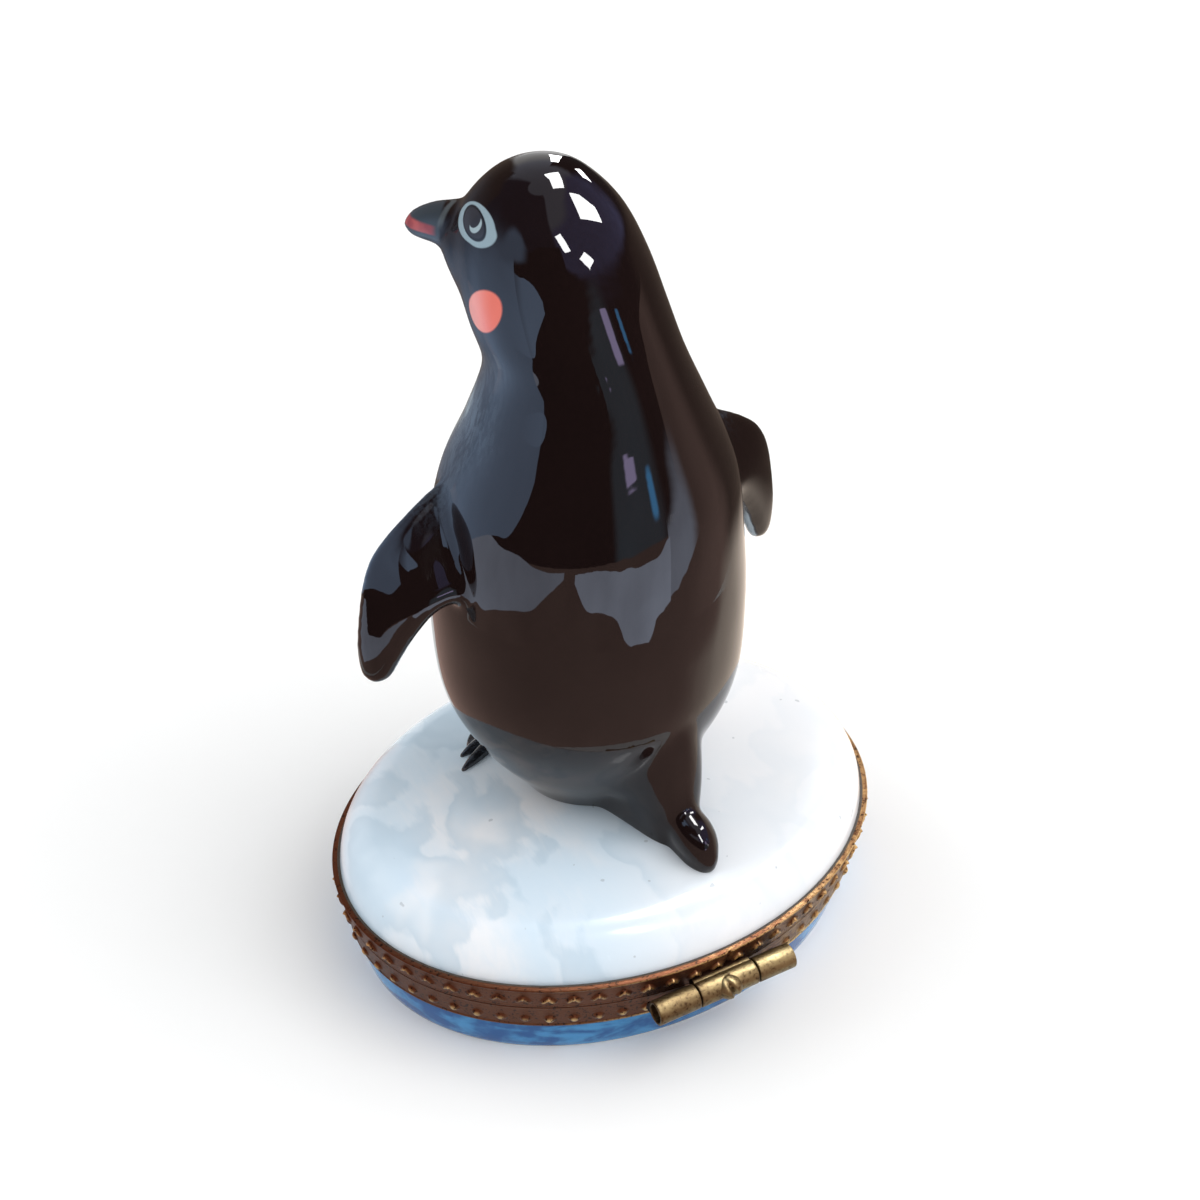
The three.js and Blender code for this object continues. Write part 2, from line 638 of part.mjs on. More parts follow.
addPiece(figure, "penguin_body", penguinBody(), blackGlaze);
addPiece(figure, "beak", beak(), blackGlaze);
const leftFlipper = flipper(1, LEFT_FLIPPER_REACH, LEFT_FLIPPER_DROP, LEFT_FLIPPER_SWEEP);
addPiece(figure, "left_flipper", leftFlipper, blackGlaze);
const rightFlipper = flipper(-1, RIGHT_FLIPPER_REACH, RIGHT_FLIPPER_DROP, RIGHT_FLIPPER_SWEEP);
addPiece(figure, "right_flipper", rightFlipper, blackGlaze);
addPiece(figure, "tail", tail(), blackGlaze);
addPiece(figure, "left_foot", foot(1), blackGlaze);
addPiece(figure, "right_foot", foot(-1), blackGlaze);

export default box;
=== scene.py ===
# %% [markdown]
# # A penguin trinket box
#
# The real object is a small hinged keepsake box. A black penguin stands on a snow-white lid, the lid closes on a
# shallow blue base, and both halves are edged with beaded brass. Everything but the brass is porcelain under a
# clear, wet-looking glaze, so most of what we see is smooth curves, brushed colour and reflections.
#
# The measured frame gives us the pieces at their real size and the hinge. This lesson dresses that frame.

# %% Load the measured frame
import math

import bmesh
import bpy
import numpy as np
from mathutils import Matrix, Quaternion, Vector


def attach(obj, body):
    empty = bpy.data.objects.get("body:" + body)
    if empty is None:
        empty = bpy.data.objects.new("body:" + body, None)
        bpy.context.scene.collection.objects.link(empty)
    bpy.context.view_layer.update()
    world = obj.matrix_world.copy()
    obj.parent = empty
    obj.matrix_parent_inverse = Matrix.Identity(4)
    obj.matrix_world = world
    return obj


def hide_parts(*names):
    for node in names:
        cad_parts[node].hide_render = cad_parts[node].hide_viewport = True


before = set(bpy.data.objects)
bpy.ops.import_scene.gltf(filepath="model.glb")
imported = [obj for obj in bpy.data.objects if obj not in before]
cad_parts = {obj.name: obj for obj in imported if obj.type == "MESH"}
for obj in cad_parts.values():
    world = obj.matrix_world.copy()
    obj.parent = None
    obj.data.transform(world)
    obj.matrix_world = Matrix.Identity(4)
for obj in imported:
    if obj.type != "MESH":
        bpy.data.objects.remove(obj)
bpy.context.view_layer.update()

MM = 0.001

# %% [markdown]
# ## Camera
#
# The camera comes first, so that every later choice can be judged in the picture. A matrix could be read off a
# manual match in the viewport; here the axes are written down, because a camera that looks down at about 39
# degrees over the penguin's left shoulder has no roll and is easy to state as "right" and "back".

# %% Camera
CAMERA_PLACE = Vector((79.54, 141.63, 169.73)) * MM
CAMERA_RIGHT = Vector((-0.8732, 0.4873, 0.0)).normalized()
CAMERA_BACK = Vector((0.3795, 0.6801, 0.6273)).normalized()
CAMERA_UP = CAMERA_BACK.cross(CAMERA_RIGHT)
camera_data = bpy.data.cameras.new("camera")
camera_data.lens = 66
camera_data.sensor_width = 36
camera_data.clip_start = 0.01
camera = bpy.data.objects.new("camera", camera_data)
axes = Matrix((CAMERA_RIGHT, CAMERA_UP, CAMERA_BACK)).transposed()
camera.matrix_world = Matrix.Translation(CAMERA_PLACE) @ axes.to_4x4()
bpy.context.scene.collection.objects.link(camera)
bpy.context.scene.camera = camera
print("camera stands", round(CAMERA_PLACE.length / MM), "mm from the foot")

# %% [markdown]
# ## Shader sums
#
# Every finish below is a picture drawn with sums: "how far is this point from the middle of the eye", "how high
# is it". Nodes could be placed one by one, but a sum is easier to read as a sum. `Wire` is a socket that can be
# added and multiplied, and `Tree.node` places any other node: its settings first, then its sockets.

# %% Wires
class Wire:
    """An output socket that works in sums, as a number does."""

    def __init__(self, finish, socket):
        self.finish, self.socket = finish, socket

    def maths(self, operation, *others):
        return self.finish.node("ShaderNodeMath", {"operation": operation}, dict(enumerate((self, *others))))

    def __add__(self, other):
        return self.maths("ADD", other)

    def __sub__(self, other):
        return self.maths("SUBTRACT", other)

    def __rsub__(self, other):
        return self * -1.0 + other

    def __mul__(self, other):
        return self.maths("MULTIPLY", other)

    def __truediv__(self, other):
        return self.maths("DIVIDE", other)

    def __pow__(self, other):
        return self.maths("POWER", other)

    def __abs__(self):
        return self.maths("ABSOLUTE")

    __radd__, __rmul__ = __add__, __mul__


print("wires add, multiply and divide")

# %% Trees
class Tree:
    """A node tree, of a material or of the world."""

    def __init__(self, owner):
        owner.use_nodes = True
        self.owner, self.tree = owner, owner.node_tree

    def node(self, kind, settings=None, sockets=None, output=0):
        made = self.tree.nodes.new(kind)
        for name, value in (settings or {}).items():
            setattr(made, name, value)
        for name, value in (sockets or {}).items():
            self.feed(made.inputs[name], value)
        if isinstance(output, tuple):
            return [Wire(self, made.outputs[name]) for name in output]
        return Wire(self, made.outputs[output])

    def feed(self, socket, value):
        if isinstance(value, Wire):
            self.tree.links.new(value.socket, socket)
        else:
            socket.default_value = value


print("trees take wires, numbers and colours")

# %% Finishes
def colour(value):
    return value if isinstance(value, Wire) else (*value, 1.0)


class Finish(Tree):
    """A tree with the nodes that this lesson uses."""

    def shader(self, **sockets):
        """Sets the material's own shader; a name's underscores stand for spaces."""
        principled = self.tree.nodes["Principled BSDF"]
        for name, value in sockets.items():
            self.feed(principled.inputs[name.replace("_", " ")], value)

    def place(self):
        """Where a point is on the piece, in millimetres."""
        return self.stretch(self.node("ShaderNodeTexCoord", output="Object"), (1 / MM, 1 / MM, 1 / MM))

    def stretch(self, vector, factors):
        return self.node("ShaderNodeVectorMath", {"operation": "MULTIPLY"}, {0: vector, 1: factors})

    def split(self, vector):
        return self.node("ShaderNodeSeparateXYZ", sockets={0: vector}, output=("X", "Y", "Z"))

    def along(self, vector, direction, origin=(0, 0, 0)):
        """How far a point lies along a direction, from an origin."""
        direction = Vector(direction)
        sockets = {0: vector, 1: direction}
        reach = self.node("ShaderNodeVectorMath", {"operation": "DOT_PRODUCT"}, sockets, "Value")
        return reach - direction.dot(Vector(origin))

    def step(self, value, low, high):
        """0 below low and 1 above high, with a soft change between; a low above high turns it round."""
        sockets = {"Value": value, "From Min": low, "From Max": high}
        return self.node("ShaderNodeMapRange", {"interpolation_type": "SMOOTHSTEP"}, sockets)

    def blend(self, mask, first, second):
        """The first colour where the mask is 0 and the second where it is 1."""
        sockets = {0: mask, 6: colour(first), 7: colour(second)}
        return self.node("ShaderNodeMix", {"data_type": "RGBA"}, sockets, 2)

    def noise(self, vector, scale, detail=2.0, distortion=0.0, output=0):
        sockets = {"Vector": vector, "Scale": scale, "Detail": detail, "Distortion": distortion}
        return self.node("ShaderNodeTexNoise", sockets=sockets, output=output)

    def bump(self, height, distance, strength=1.0):
        sockets = {"Height": height, "Distance": distance * MM, "Strength": strength}
        return self.node("ShaderNodeBump", sockets=sockets)


def new_finish(name):
    return Finish(bpy.data.materials.new(name))


print("finishes can be written as sums")

# %% [markdown]
# ## Sizes
#
# The box is drawn round one oval. The numbers are those of the measured frame, in millimetres, so that a dressed
# piece lies exactly where its measured one does.

# %% Sizes of the box
HALF_LENGTH, HALF_WIDTH = 28.0, 21.8
BASE_HEIGHT, LOWER_BAND_HEIGHT, UPPER_BAND_HEIGHT, PARTING_GAP = 4.6, 3.3, 3.0, 0.1
BASE_WALL, BASE_FLOOR, FOOT_INSET, WELL_ROUND = 2.4, 2.2, 0.6, 2.2
SHOULDER_RISE, SHOULDER_INSET, DOME_RISE, LID_WALL = 4.9, 4.4, 5.6, 2.2
BEDDING, BAND, FLANGE = 0.25, 0.5, 0.6
LIP_THICKNESS, LIP_RISE, LIP_DEPTH, LIP_CLEARANCE = 0.6, 1.0, 1.5, 0.3
TUBE_RADIUS, TUBE_CLEARANCE = 1.25, 0.3
LOWER_TOP = BASE_HEIGHT + LOWER_BAND_HEIGHT
UPPER_BOTTOM = LOWER_TOP + PARTING_GAP
RIM = UPPER_BOTTOM + UPPER_BAND_HEIGHT
CROWN = RIM + DOME_RISE
BAND_OUTSIDE = BEDDING + BAND
BAND_LEAN = math.tan(math.radians(10.5))


def neck(height):
    """How far the porcelain under the brass lies outside the oval: it draws in below the rim."""
    return (height - RIM) * BAND_LEAN


LIP_OUTSIDE = neck(LOWER_TOP) - BASE_WALL
UPPER_FLANGE_INSIDE = LIP_OUTSIDE + LIP_CLEARANCE
HINGE_Z = (LOWER_TOP + UPPER_BOTTOM) / 2
HINGE_Y = HALF_WIDTH + neck(HINGE_Z) + BAND_OUTSIDE + TUBE_CLEARANCE + TUBE_RADIUS
print("rim at", RIM, "crown at", CROWN, "hinge at", round(HINGE_Y, 2), HINGE_Z)

# %% [markdown]
# ## Skins over rings
#
# Nearly every piece is a row of rings with a skin over them, as a potter thinks of a wall. A circle swept by a
# Screw modifier would give a round box; ours is oval, so the rings are written as points. They are spaced evenly
# along the oval, because the beads on the brass have to be.

# %% Rings
def circle(sides):
    return np.linspace(0, 2 * np.pi, sides, endpoint=False)


def hoops(outline, origin, axis, sides):
    """Round rings of (place along an axis, radius) about an origin; X, Y and Z are 0, 1 and 2."""
    disc = np.stack([np.cos(circle(sides)), np.sin(circle(sides))], -1)
    return [np.insert(radius * disc, axis, along, 1) + origin for along, radius in outline]


def even_angles(sides):
    fine = np.linspace(0, 2 * np.pi, 20001)
    steps = np.hypot(HALF_LENGTH * np.diff(np.cos(fine)), HALF_WIDTH * np.diff(np.sin(fine)))
    run = np.concatenate([[0], np.cumsum(steps)])
    return np.interp(np.arange(sides) / sides * run[-1], run, fine)


OVAL_ANGLES = even_angles(240)


def oval(offset, height, angles=OVAL_ANGLES):
    across = (HALF_LENGTH + offset) * np.cos(angles)
    along = (HALF_WIDTH + offset) * np.sin(angles)
    return np.stack([across, along, np.zeros_like(angles) + height], -1)


def curve(start, bend, stop, steps):
    """A bend from start to stop, drawn towards a third point."""
    start, bend, stop = np.array(start), np.array(bend), np.array(stop)
    t = np.linspace(0, 1, steps)[:, None]
    return (1 - t) ** 2 * start + 2 * t * (1 - t) * bend + t * t * stop


def rounded(outline, radius):
    """A closed outline with its corners rounded."""
    outline = np.asarray(outline, float)
    points = []
    for corner, *ends in zip(outline, np.roll(outline, 1, 0), np.roll(outline, -1, 0)):
        sides = [end - corner for end in ends]
        lengths = [np.linalg.norm(side) for side in sides]
        start, stop = [corner + side / length * min(radius, 0.45 * length) for side, length in zip(sides, lengths)]
        points.extend(curve(start, corner, stop, 5))
    return np.array(points)


print("the oval is drawn with", len(OVAL_ANGLES), "points")

# %% Skins
def skin(rings, loop=False):
    """Points and faces over a row of rings. A row that isn't a loop is closed at its ends."""
    rings = np.asarray(rings, float)
    count, sides = rings.shape[:2]
    points = rings.reshape(-1, 3)
    faces = []
    for i in range(count if loop else count - 1):
        lower, upper = i * sides, (i + 1) % count * sides
        for j in range(sides):
            k = (j + 1) % sides
            faces.append((lower + j, lower + k, upper + k, upper + j))
    if not loop:
        points = np.vstack([points, rings[0].mean(0), rings[-1].mean(0)])
        first, last = count * sides, (count - 1) * sides
        for j in range(sides):
            k = (j + 1) % sides
            faces.append((first, k, j))
            faces.append((first + 1, last + j, last + k))
    return points, faces


print("a skin over two ovals has", len(skin([oval(0, 0), oval(0, 1)])[1]), "faces")

# %% Pieces
def new_piece(name, points, faces, finish, sharp=40):
    mesh = bpy.data.meshes.new(name)
    mesh.from_pydata(np.asarray(points) * MM, [], faces)
    shape = bmesh.new()
    shape.from_mesh(mesh)
    bmesh.ops.recalc_face_normals(shape, faces=shape.faces)
    shape.to_mesh(mesh)
    shape.free()
    mesh.materials.append(finish.owner)
    piece = bpy.data.objects.new(name, mesh)
    bpy.context.scene.collection.objects.link(piece)
    shade(piece, sharp)
    return piece


def shade(piece, sharp):
    """Smooth all over, but for edges that turn by more than an angle in degrees."""
    piece.data.shade_smooth()
    piece.data.set_sharp_from_angle(angle=math.radians(sharp))


def bake_modifiers(piece):
    """Turns what the modifiers make into the piece's own mesh."""
    graph = bpy.context.evaluated_depsgraph_get()
    made = bpy.data.meshes.new_from_object(piece.evaluated_get(graph))
    piece.modifiers.clear()
    piece.data = made


def settle(piece, body, slot, *nodes):
    """The piece moves with a body and stands for measured nodes. The slot is not used."""
    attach(piece, body)
    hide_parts(*nodes)
    print(piece.name, "on", body, len(piece.data.polygons), "faces")


print("pieces are made in metres,", MM, "to the millimetre")

# %% [markdown]
# ## Snow glaze
#
# The lid is white porcelain with pale blue-grey washes, put on with a broad wet brush and softened by the glaze.
# A picture could be projected on it, but a noise that is bent by another noise gives the same uneven pools. Where
# a wash dries, its colour gathers at the edge and thins out inwards: a step that rises fast and falls slowly
# draws that. More wash lies on the penguin's left, where it also stands for the shade on that side: painted
# shade. Over the colour lies a clear film: the shader's coat.

# %% Snow glaze
def glaze(finish, tint, roughness, specular, film_roughness, film_ior, normal):
    """Brushed colour under a clear film of glass."""
    finish.shader(Base_Color=tint, Roughness=roughness, Specular_IOR_Level=specular, Coat_Weight=1.0,
                  Coat_Roughness=film_roughness, Coat_IOR=film_ior, Normal=normal)
    print(finish.owner.name, "has", len(finish.tree.nodes), "nodes")


snow = new_finish("snow_glaze")
where = snow.place()
x, y, _ = snow.split(where)
WHITE, WASH, DRIED, SPECK = (0.9, 0.905, 0.925), (0.62, 0.775, 0.9), (0.45, 0.6, 0.72), (0.3, 0.34, 0.38)
swirl = snow.stretch(snow.noise(where, 0.1, 3.0, output="Color"), (9.0, 9.0, 9.0))
bent = snow.node("ShaderNodeVectorMath", {"operation": "ADD"}, {0: where, 1: swirl})
hairs = snow.noise(snow.stretch(where, (2.6, 0.7, 1.0)), 0.5, 3.0, 0.8)
pools = snow.noise(snow.stretch(bent, (1.0, 1.25, 0.5)), 0.06) + 0.1 * (hairs - 0.5)
edges = snow.noise(snow.stretch(bent, (1.25, 0.8, 0.5)), 0.1) + 0.05 * (hairs - 0.5)
# Towards the penguin's left the wash is laid on more thickly: part paint, part painted shade on that side.
wash_and_left_shade = 0.2 + 0.8 * snow.step(0.8 * x - 0.5 * y, -13.0, 3.0)
wash = snow.step(pools, 0.3, 0.62) * wash_and_left_shade
dried = snow.step(edges, 0.47, 0.52) * snow.step(edges, 0.7, 0.5) * wash_and_left_shade
specks = snow.step(snow.noise(where, 1.3, 0.0), 0.84, 0.87)
tint = snow.blend(0.8 * wash, WHITE, WASH)
tint = snow.blend(0.42 * dried, tint, DRIED)
tint = snow.blend(0.4 * specks, tint, SPECK)
waves = snow.bump(snow.noise(where, 0.16, 1.0), 0.12, 0.5)
glaze(snow, tint, 0.2 + 0.1 * hairs, 0.2, 0.04, 1.24, waves)

# %% [markdown]
# ## Blue glaze
#
# The base is painted blue outside, in uneven strokes round the oval, and left white in its well and under its
# foot. Two materials could share the mesh, but one can do both: how far a point lies inside the oval tells it
# which side it is on.

# %% Blue glaze
blue = new_finish("blue_glaze")
where = blue.place()
x, y, z = blue.split(where)
strokes = blue.noise(blue.stretch(where, (1.0, 1.0, 3.5)), 0.16, 4.0, 0.8)
mottle = blue.noise(where, 0.9, 3.0)
share = ((x / HALF_LENGTH) ** 2 + (y / HALF_WIDTH) ** 2) ** 0.5
painted = blue.step(share, 0.9, 0.91) * blue.step(z, 0.06, 0.16)
thick = blue.step(strokes + 0.3 * (mottle - 0.5), 0.36, 0.66)
DEEP_BLUE, LIGHT_BLUE, UNPAINTED = (0.026, 0.1, 0.285), (0.065, 0.27, 0.54), (0.82, 0.83, 0.83)
tint = blue.blend(painted, UNPAINTED, blue.blend(thick, DEEP_BLUE, LIGHT_BLUE))
glaze(blue, tint, 0.14 + 0.1 * mottle, 0.1, 0.04, 1.2, blue.bump(strokes, 0.1, 0.4))

# %% [markdown]
# ## Brass
#
# The mounts are stamped brass that has aged to a reddish brown, worn bright on the beads. The back and right
# side, towards the hinge, is painted brighter and more golden, the hinge too, and so are the rounded lips on that
# side: painted light, where the lamps fall. Wear could be guessed from the curvature, but the beads are made by a
# formula below, so the mesh can carry the answer itself, in an attribute that also carries the lips' painted
# light. The hinge is duller and yellower, with dark specks, and a painted shadow in the gap behind its tubes.

# %% Brass
# The direction here points to the side of the brass that is painted brighter and more golden: painted light.
PAINTED_LIT_SIDE, DIRT_AND_SHADE_COLOUR = (-0.8, 0.6, 0.0), (0.025, 0.013, 0.009)


def brass(name, worn, aged, base_wear, roughness, is_hinge):
    finish = new_finish(name)
    where = finish.place()
    _, y, _ = finish.split(where)
    rubbed_and_lit = finish.node("ShaderNodeAttribute", {"attribute_name": "rubbed_and_lit"}, output="Fac")
    cloud = finish.noise(where, 0.6, 4.0, 0.5)
    grit = finish.noise(where, 3.5, 4.0)
    # The side towards the hinge is painted brighter: painted light, where the lamps fall.
    painted_lit_side = finish.step(finish.along(where, PAINTED_LIT_SIDE), 4.0, 24.0)
    wear_and_light = rubbed_and_lit + base_wear + 0.35 * painted_lit_side + 0.7 * (cloud - 0.5) + 0.5 * (grit - 0.5)
    wear_and_light = finish.step(wear_and_light, 0.1, 0.95)
    dirt_and_gap_shade = finish.step(grit + 0.3 * (cloud - 0.5), 0.44, 0.34)
    if is_hinge:
        # The hinge's side that faces the mount, in the gap behind the tubes, is painted dark: painted shade, added
        # to the dirt.
        behind = finish.step(y, HINGE_Y - 0.7, HINGE_Y - 1.1) * finish.step(y, 0.0, 1.0)
        dirt_and_gap_shade = (0.5 * dirt_and_gap_shade).maths("MAXIMUM", behind)
    finish.shader(
        Base_Color=finish.blend(dirt_and_gap_shade, finish.blend(wear_and_light, aged, worn), DIRT_AND_SHADE_COLOUR),
        Metallic=1.0,
        Roughness=roughness + 0.18 * (1 - wear_and_light) + 0.2 * (grit - 0.5),
        Normal=finish.bump(grit, 0.04, 0.6),
    )
    return finish


mount_brass = brass("mount_brass", worn=(0.6, 0.43, 0.2), aged=(0.108, 0.043, 0.022), base_wear=0.0,
                    roughness=0.28, is_hinge=False)
hinge_brass = brass("hinge_brass", worn=(0.255, 0.205, 0.105), aged=(0.075, 0.044, 0.021), base_wear=0.36,
                    roughness=0.34, is_hinge=True)
cement = new_finish("cement")
crumbs = cement.noise(cement.place(), 2.4, 4.0)
cement.shader(
    Base_Color=cement.blend(crumbs, (0.02, 0.014, 0.01), (0.1, 0.08, 0.06)),
    Roughness=0.8 + 0.15 * crumbs,
    Normal=cement.bump(crumbs, 0.05),
)
print("brass and cement are ready")

# %% [markdown]
# ## Porcelain base
#
# The base is a shallow oval dish. Its outside swells a little from the foot to the brass, and its well has a
# rounded floor. A cube could be carved with modifiers, but a section says more: it is drawn as curves of (distance
# outside the oval, height) and turned into rings.

# %% Porcelain base
waist = neck(BASE_HEIGHT)
foot = waist - FOOT_INSET
foot_bevel, foot_edge = 0.25, 0.12
neck_top = LOWER_TOP - FLANGE - BEDDING
swell = curve((foot, foot_edge), (waist, 0.2 * BASE_HEIGHT), (waist, BASE_HEIGHT), 14)
well = curve((LIP_OUTSIDE, BASE_FLOOR + WELL_ROUND), (LIP_OUTSIDE, BASE_FLOOR),
             (LIP_OUTSIDE - WELL_ROUND, BASE_FLOOR), 10)
outline = [(foot - foot_bevel, 0.0), *swell, (neck(neck_top), neck_top), (LIP_OUTSIDE, neck_top), *well]
base = new_piece("blue_base", *skin([oval(offset, height) for offset, height in outline]), blue, 30)
settle(base, "base", "blue_glaze", "base_bowl")

# %% [markdown]
# ## Porcelain lid
#
# The lid is a hollow dome with a tight shoulder and a nearly flat crown. The shoulder and the crown are two
# curves, and under a wet glaze even a slight kink between them would show, so the rings are eased: each one is
# moved towards its neighbours a few times. The firing vent under the figure is cut with a Boolean modifier.

# %% Porcelain lid
def dome_rings(growth, shoulder_steps, crown_steps):
    rings = []
    for angle in np.linspace(0, math.pi / 2, shoulder_steps):
        inset = SHOULDER_INSET * (1 - math.cos(angle))
        rings.append(oval(growth - inset, RIM + SHOULDER_RISE * math.sin(angle) + growth))
    for share in np.linspace(1, 0.02, crown_steps)[1:]:
        height = CROWN + growth - (DOME_RISE - SHOULDER_RISE) * share * share
        rings.append(rings[shoulder_steps - 1] * (share, share, 0) + (0, 0, height))
    return np.array(rings)


def eased(rings, times):
    for _ in range(times):
        rings[1:-1] = (rings[:-2] + 2 * rings[1:-1] + rings[2:]) / 4
    return rings


outside = eased(dome_rings(0, 24, 26), 10)
inside = eased(dome_rings(-LID_WALL, 16, 18)[2:], 4)[::-1]
lid_edge = UPPER_BOTTOM + FLANGE + BEDDING
edge = [oval(UPPER_FLANGE_INSIDE, lid_edge), oval(neck(lid_edge), lid_edge)]
lid = new_piece("snow_lid", *skin([*inside, *edge, *outside]), snow, 35)
print("lid has", len(lid.data.polygons), "faces before its vent")

# %% Vent
VENT_RADIUS, VENT_FORWARD = 2.1, 3.3
vent_outline = [(CROWN - depth, VENT_RADIUS) for depth in (6, 1)]
vent_rings = hoops(vent_outline, (0, -VENT_FORWARD, 0), 2, 48)
vent = new_piece("vent_cutter", *skin(vent_rings), snow)
hole = lid.modifiers.new("vent", "BOOLEAN")
hole.operation = "DIFFERENCE"
hole.object = vent
bake_modifiers(lid)
bpy.data.objects.remove(vent)
settle(lid, "lid", "snow_glaze", "lid_dome")

# %% [markdown]
# ## Beaded mounts
#
# Each mount is a strip of brass, stamped with a row of beads or leaves, bent round the porcelain and folded over
# its edge. The beads could be little spheres stuck on, but stamped metal has no joins. So the outer face is a
# fine grid, and each point is pushed out by a formula: a dome for every bead, no two quite alike, a thin round
# lip along the free edge, and a shallow groove where the strip's ends meet beside the hinge.

# %% Relief of the mounts
BEADS, COLUMNS = 66, 18
BAND_ANGLES = even_angles(BEADS * COLUMNS)
PITCH_STEPS = np.arange(BEADS * COLUMNS) / COLUMNS
BEAD_SIZES = np.random.default_rng(5).uniform(0.78, 1.1, BEADS)[PITCH_STEPS.astype(int)]
BEAD_HEIGHT, LEAF_HEIGHT, PLAIN_HALF, SEAM_PLACE = 5.95, 9.35, 3.4, -1.2
across = HALF_LENGTH * np.cos(BAND_ANGLES)
is_front = np.sin(BAND_ANGLES) < 0
# The strip is left plain behind the clasp.
away_from_clasp = np.where(is_front, np.clip(np.abs(across) - PLAIN_HALF, 0, 1), 1)
seam = np.where((np.abs(across - SEAM_PLACE) < 0.16) & ~is_front, -0.16, 0.0)


def bead_row(height, middle, half_height, half_share, rise, slant=0.0, shift=0.0):
    """How far a row of beads stands out at each point round the band, at one height."""
    drop = (height - middle) / half_height
    near = PITCH_STEPS - np.floor(PITCH_STEPS) - 0.5 - shift - slant * drop
    return rise * BEAD_SIZES * np.clip(1 - (near / half_share) ** 2 - drop ** 2, 0, 1) ** 0.7


def fillet(height, edge, width, rise):
    return rise * math.sqrt(max(0.0, 1 - ((height - edge) / width) ** 2))


def lower_relief(height):
    beads = bead_row(height, BEAD_HEIGHT, 0.52, 0.23, 0.38)
    trim = fillet(height, BASE_HEIGHT + 0.2, 0.2, 0.07) + fillet(height, LOWER_TOP - 0.1, 0.1, 0.03)
    return beads * away_from_clasp, trim


def upper_relief(height):
    """A leaf is two slanting beads that meet."""
    leaves = sum(bead_row(height, LEAF_HEIGHT, 0.55, 0.14, 0.34, 0.15 * side, -0.13 * side) for side in (1, -1))
    trim = fillet(height, RIM - 0.16, 0.16, 0.1) + fillet(height, UPPER_BOTTOM + 0.1, 0.1, 0.03)
    return leaves * away_from_clasp + seam, trim


print(BEADS, "beads to the round")

# %% Mounts
# The same brighter side, picked out on the brass's lips: painted light.
painted_lit_side = np.clip((oval(0, 0, BAND_ANGLES) @ PAINTED_LIT_SIDE + 5) / 25, 0, 1)
FACE_INSET = 0.06


def mount(name, body, node, bottom, top, relief, back):
    """A band with relief on its leaning face, closed by plain rings behind it."""
    rings, rubbed_and_lit = [], []
    for height in np.linspace(bottom, top, 34):
        stamped, trim = relief(height)
        rings.append(oval(neck(height) + BAND_OUTSIDE - FACE_INSET + stamped + trim, height, BAND_ANGLES))
        # Lips on the brighter side are raised in the attribute too: painted light, not rubbing.
        painted_light_on_lip = 1.1 * painted_lit_side if trim > 0.05 else 0.0
        rubbed_and_lit.append(0.85 * np.clip((stamped - 0.14) / 0.26, 0, 1) + painted_light_on_lip)
    for offset, height in back:
        rings.append(oval(offset, height, BAND_ANGLES))
        rubbed_and_lit.append(np.zeros(len(BAND_ANGLES)))
    piece = new_piece(name, *skin(rings, loop=True), mount_brass, 60)
    layer = piece.data.attributes.new("rubbed_and_lit", "FLOAT", "POINT")
    layer.data.foreach_set("value", np.concatenate(rubbed_and_lit).astype(np.float32))
    settle(piece, body, "mount_brass", node)


lower_step, upper_step = LOWER_TOP - FLANGE, UPPER_BOTTOM + FLANGE
lower_back = [(LIP_OUTSIDE, LOWER_TOP), (LIP_OUTSIDE, lower_step), (neck(lower_step) + BEDDING, lower_step),
              (waist + BEDDING, BASE_HEIGHT)]
upper_back = [(neck(RIM) + BEDDING, RIM), (neck(upper_step) + BEDDING, upper_step),
              (UPPER_FLANGE_INSIDE, upper_step), (UPPER_FLANGE_INSIDE, UPPER_BOTTOM)]
mount("lower_band", "base", "lower_mount", BASE_HEIGHT, LOWER_TOP, lower_relief, lower_back)
mount("upper_band", "lid", "upper_mount", UPPER_BOTTOM, RIM, upper_relief, upper_back)

# %% [markdown]
# ## Lip and bedding
#
# Inside the lower mount a thin lip stands up and keys the closed lid. Between brass and porcelain lies a line of
# dark bedding. They are plain rings. A Bevel modifier could soften their edges, but rounding the section does it
# once for the whole ring, and the edges then catch a line of light.

# %% Lip and bedding
def plain_ring(name, outline, radius, finish, body, slot, node):
    rings = [oval(offset, height) for offset, height in rounded(outline, radius)]
    settle(new_piece(name, *skin(rings, loop=True), finish), body, slot, node)


lip_inside, lip_bottom, lip_top = LIP_OUTSIDE - LIP_THICKNESS, LOWER_TOP - LIP_DEPTH, LOWER_TOP + LIP_RISE
lip = [(LIP_OUTSIDE, lip_bottom), (LIP_OUTSIDE, lip_top), (lip_inside, lip_top), (lip_inside, lip_bottom)]
plain_ring("keying_lip", lip, 0.22, mount_brass, "base", "mount_brass", "lower_mount_lip")
lower_bed = [(waist + BEDDING, BASE_HEIGHT), (neck(lower_step) + BEDDING, lower_step), (LIP_OUTSIDE, lower_step),
             (LIP_OUTSIDE, neck_top), (neck(neck_top), neck_top), (waist, BASE_HEIGHT)]
plain_ring("lower_cement", lower_bed, 0.05, cement, "base", "cement", "lower_bedding")
upper_bed = [(0.0, RIM), (neck(lid_edge), lid_edge), (UPPER_FLANGE_INSIDE, lid_edge),
             (UPPER_FLANGE_INSIDE, upper_step), (neck(upper_step) + BEDDING, upper_step), (BEDDING, RIM)]
plain_ring("upper_cement", upper_bed, 0.05, cement, "lid", "cement", "upper_bedding")

# %% [markdown]
# ## Hinge
#
# Three short tubes, rolled from sheet, turn on one pin. The outer two are soldered to the lower mount by a leaf
# and the middle one to the upper mount, and the middle one carries a small notched boss. A tube is its wall's
# outline turned round the pin's line; a Screw modifier would do it too, but the outline keeps the open end that
# shows in the picture.

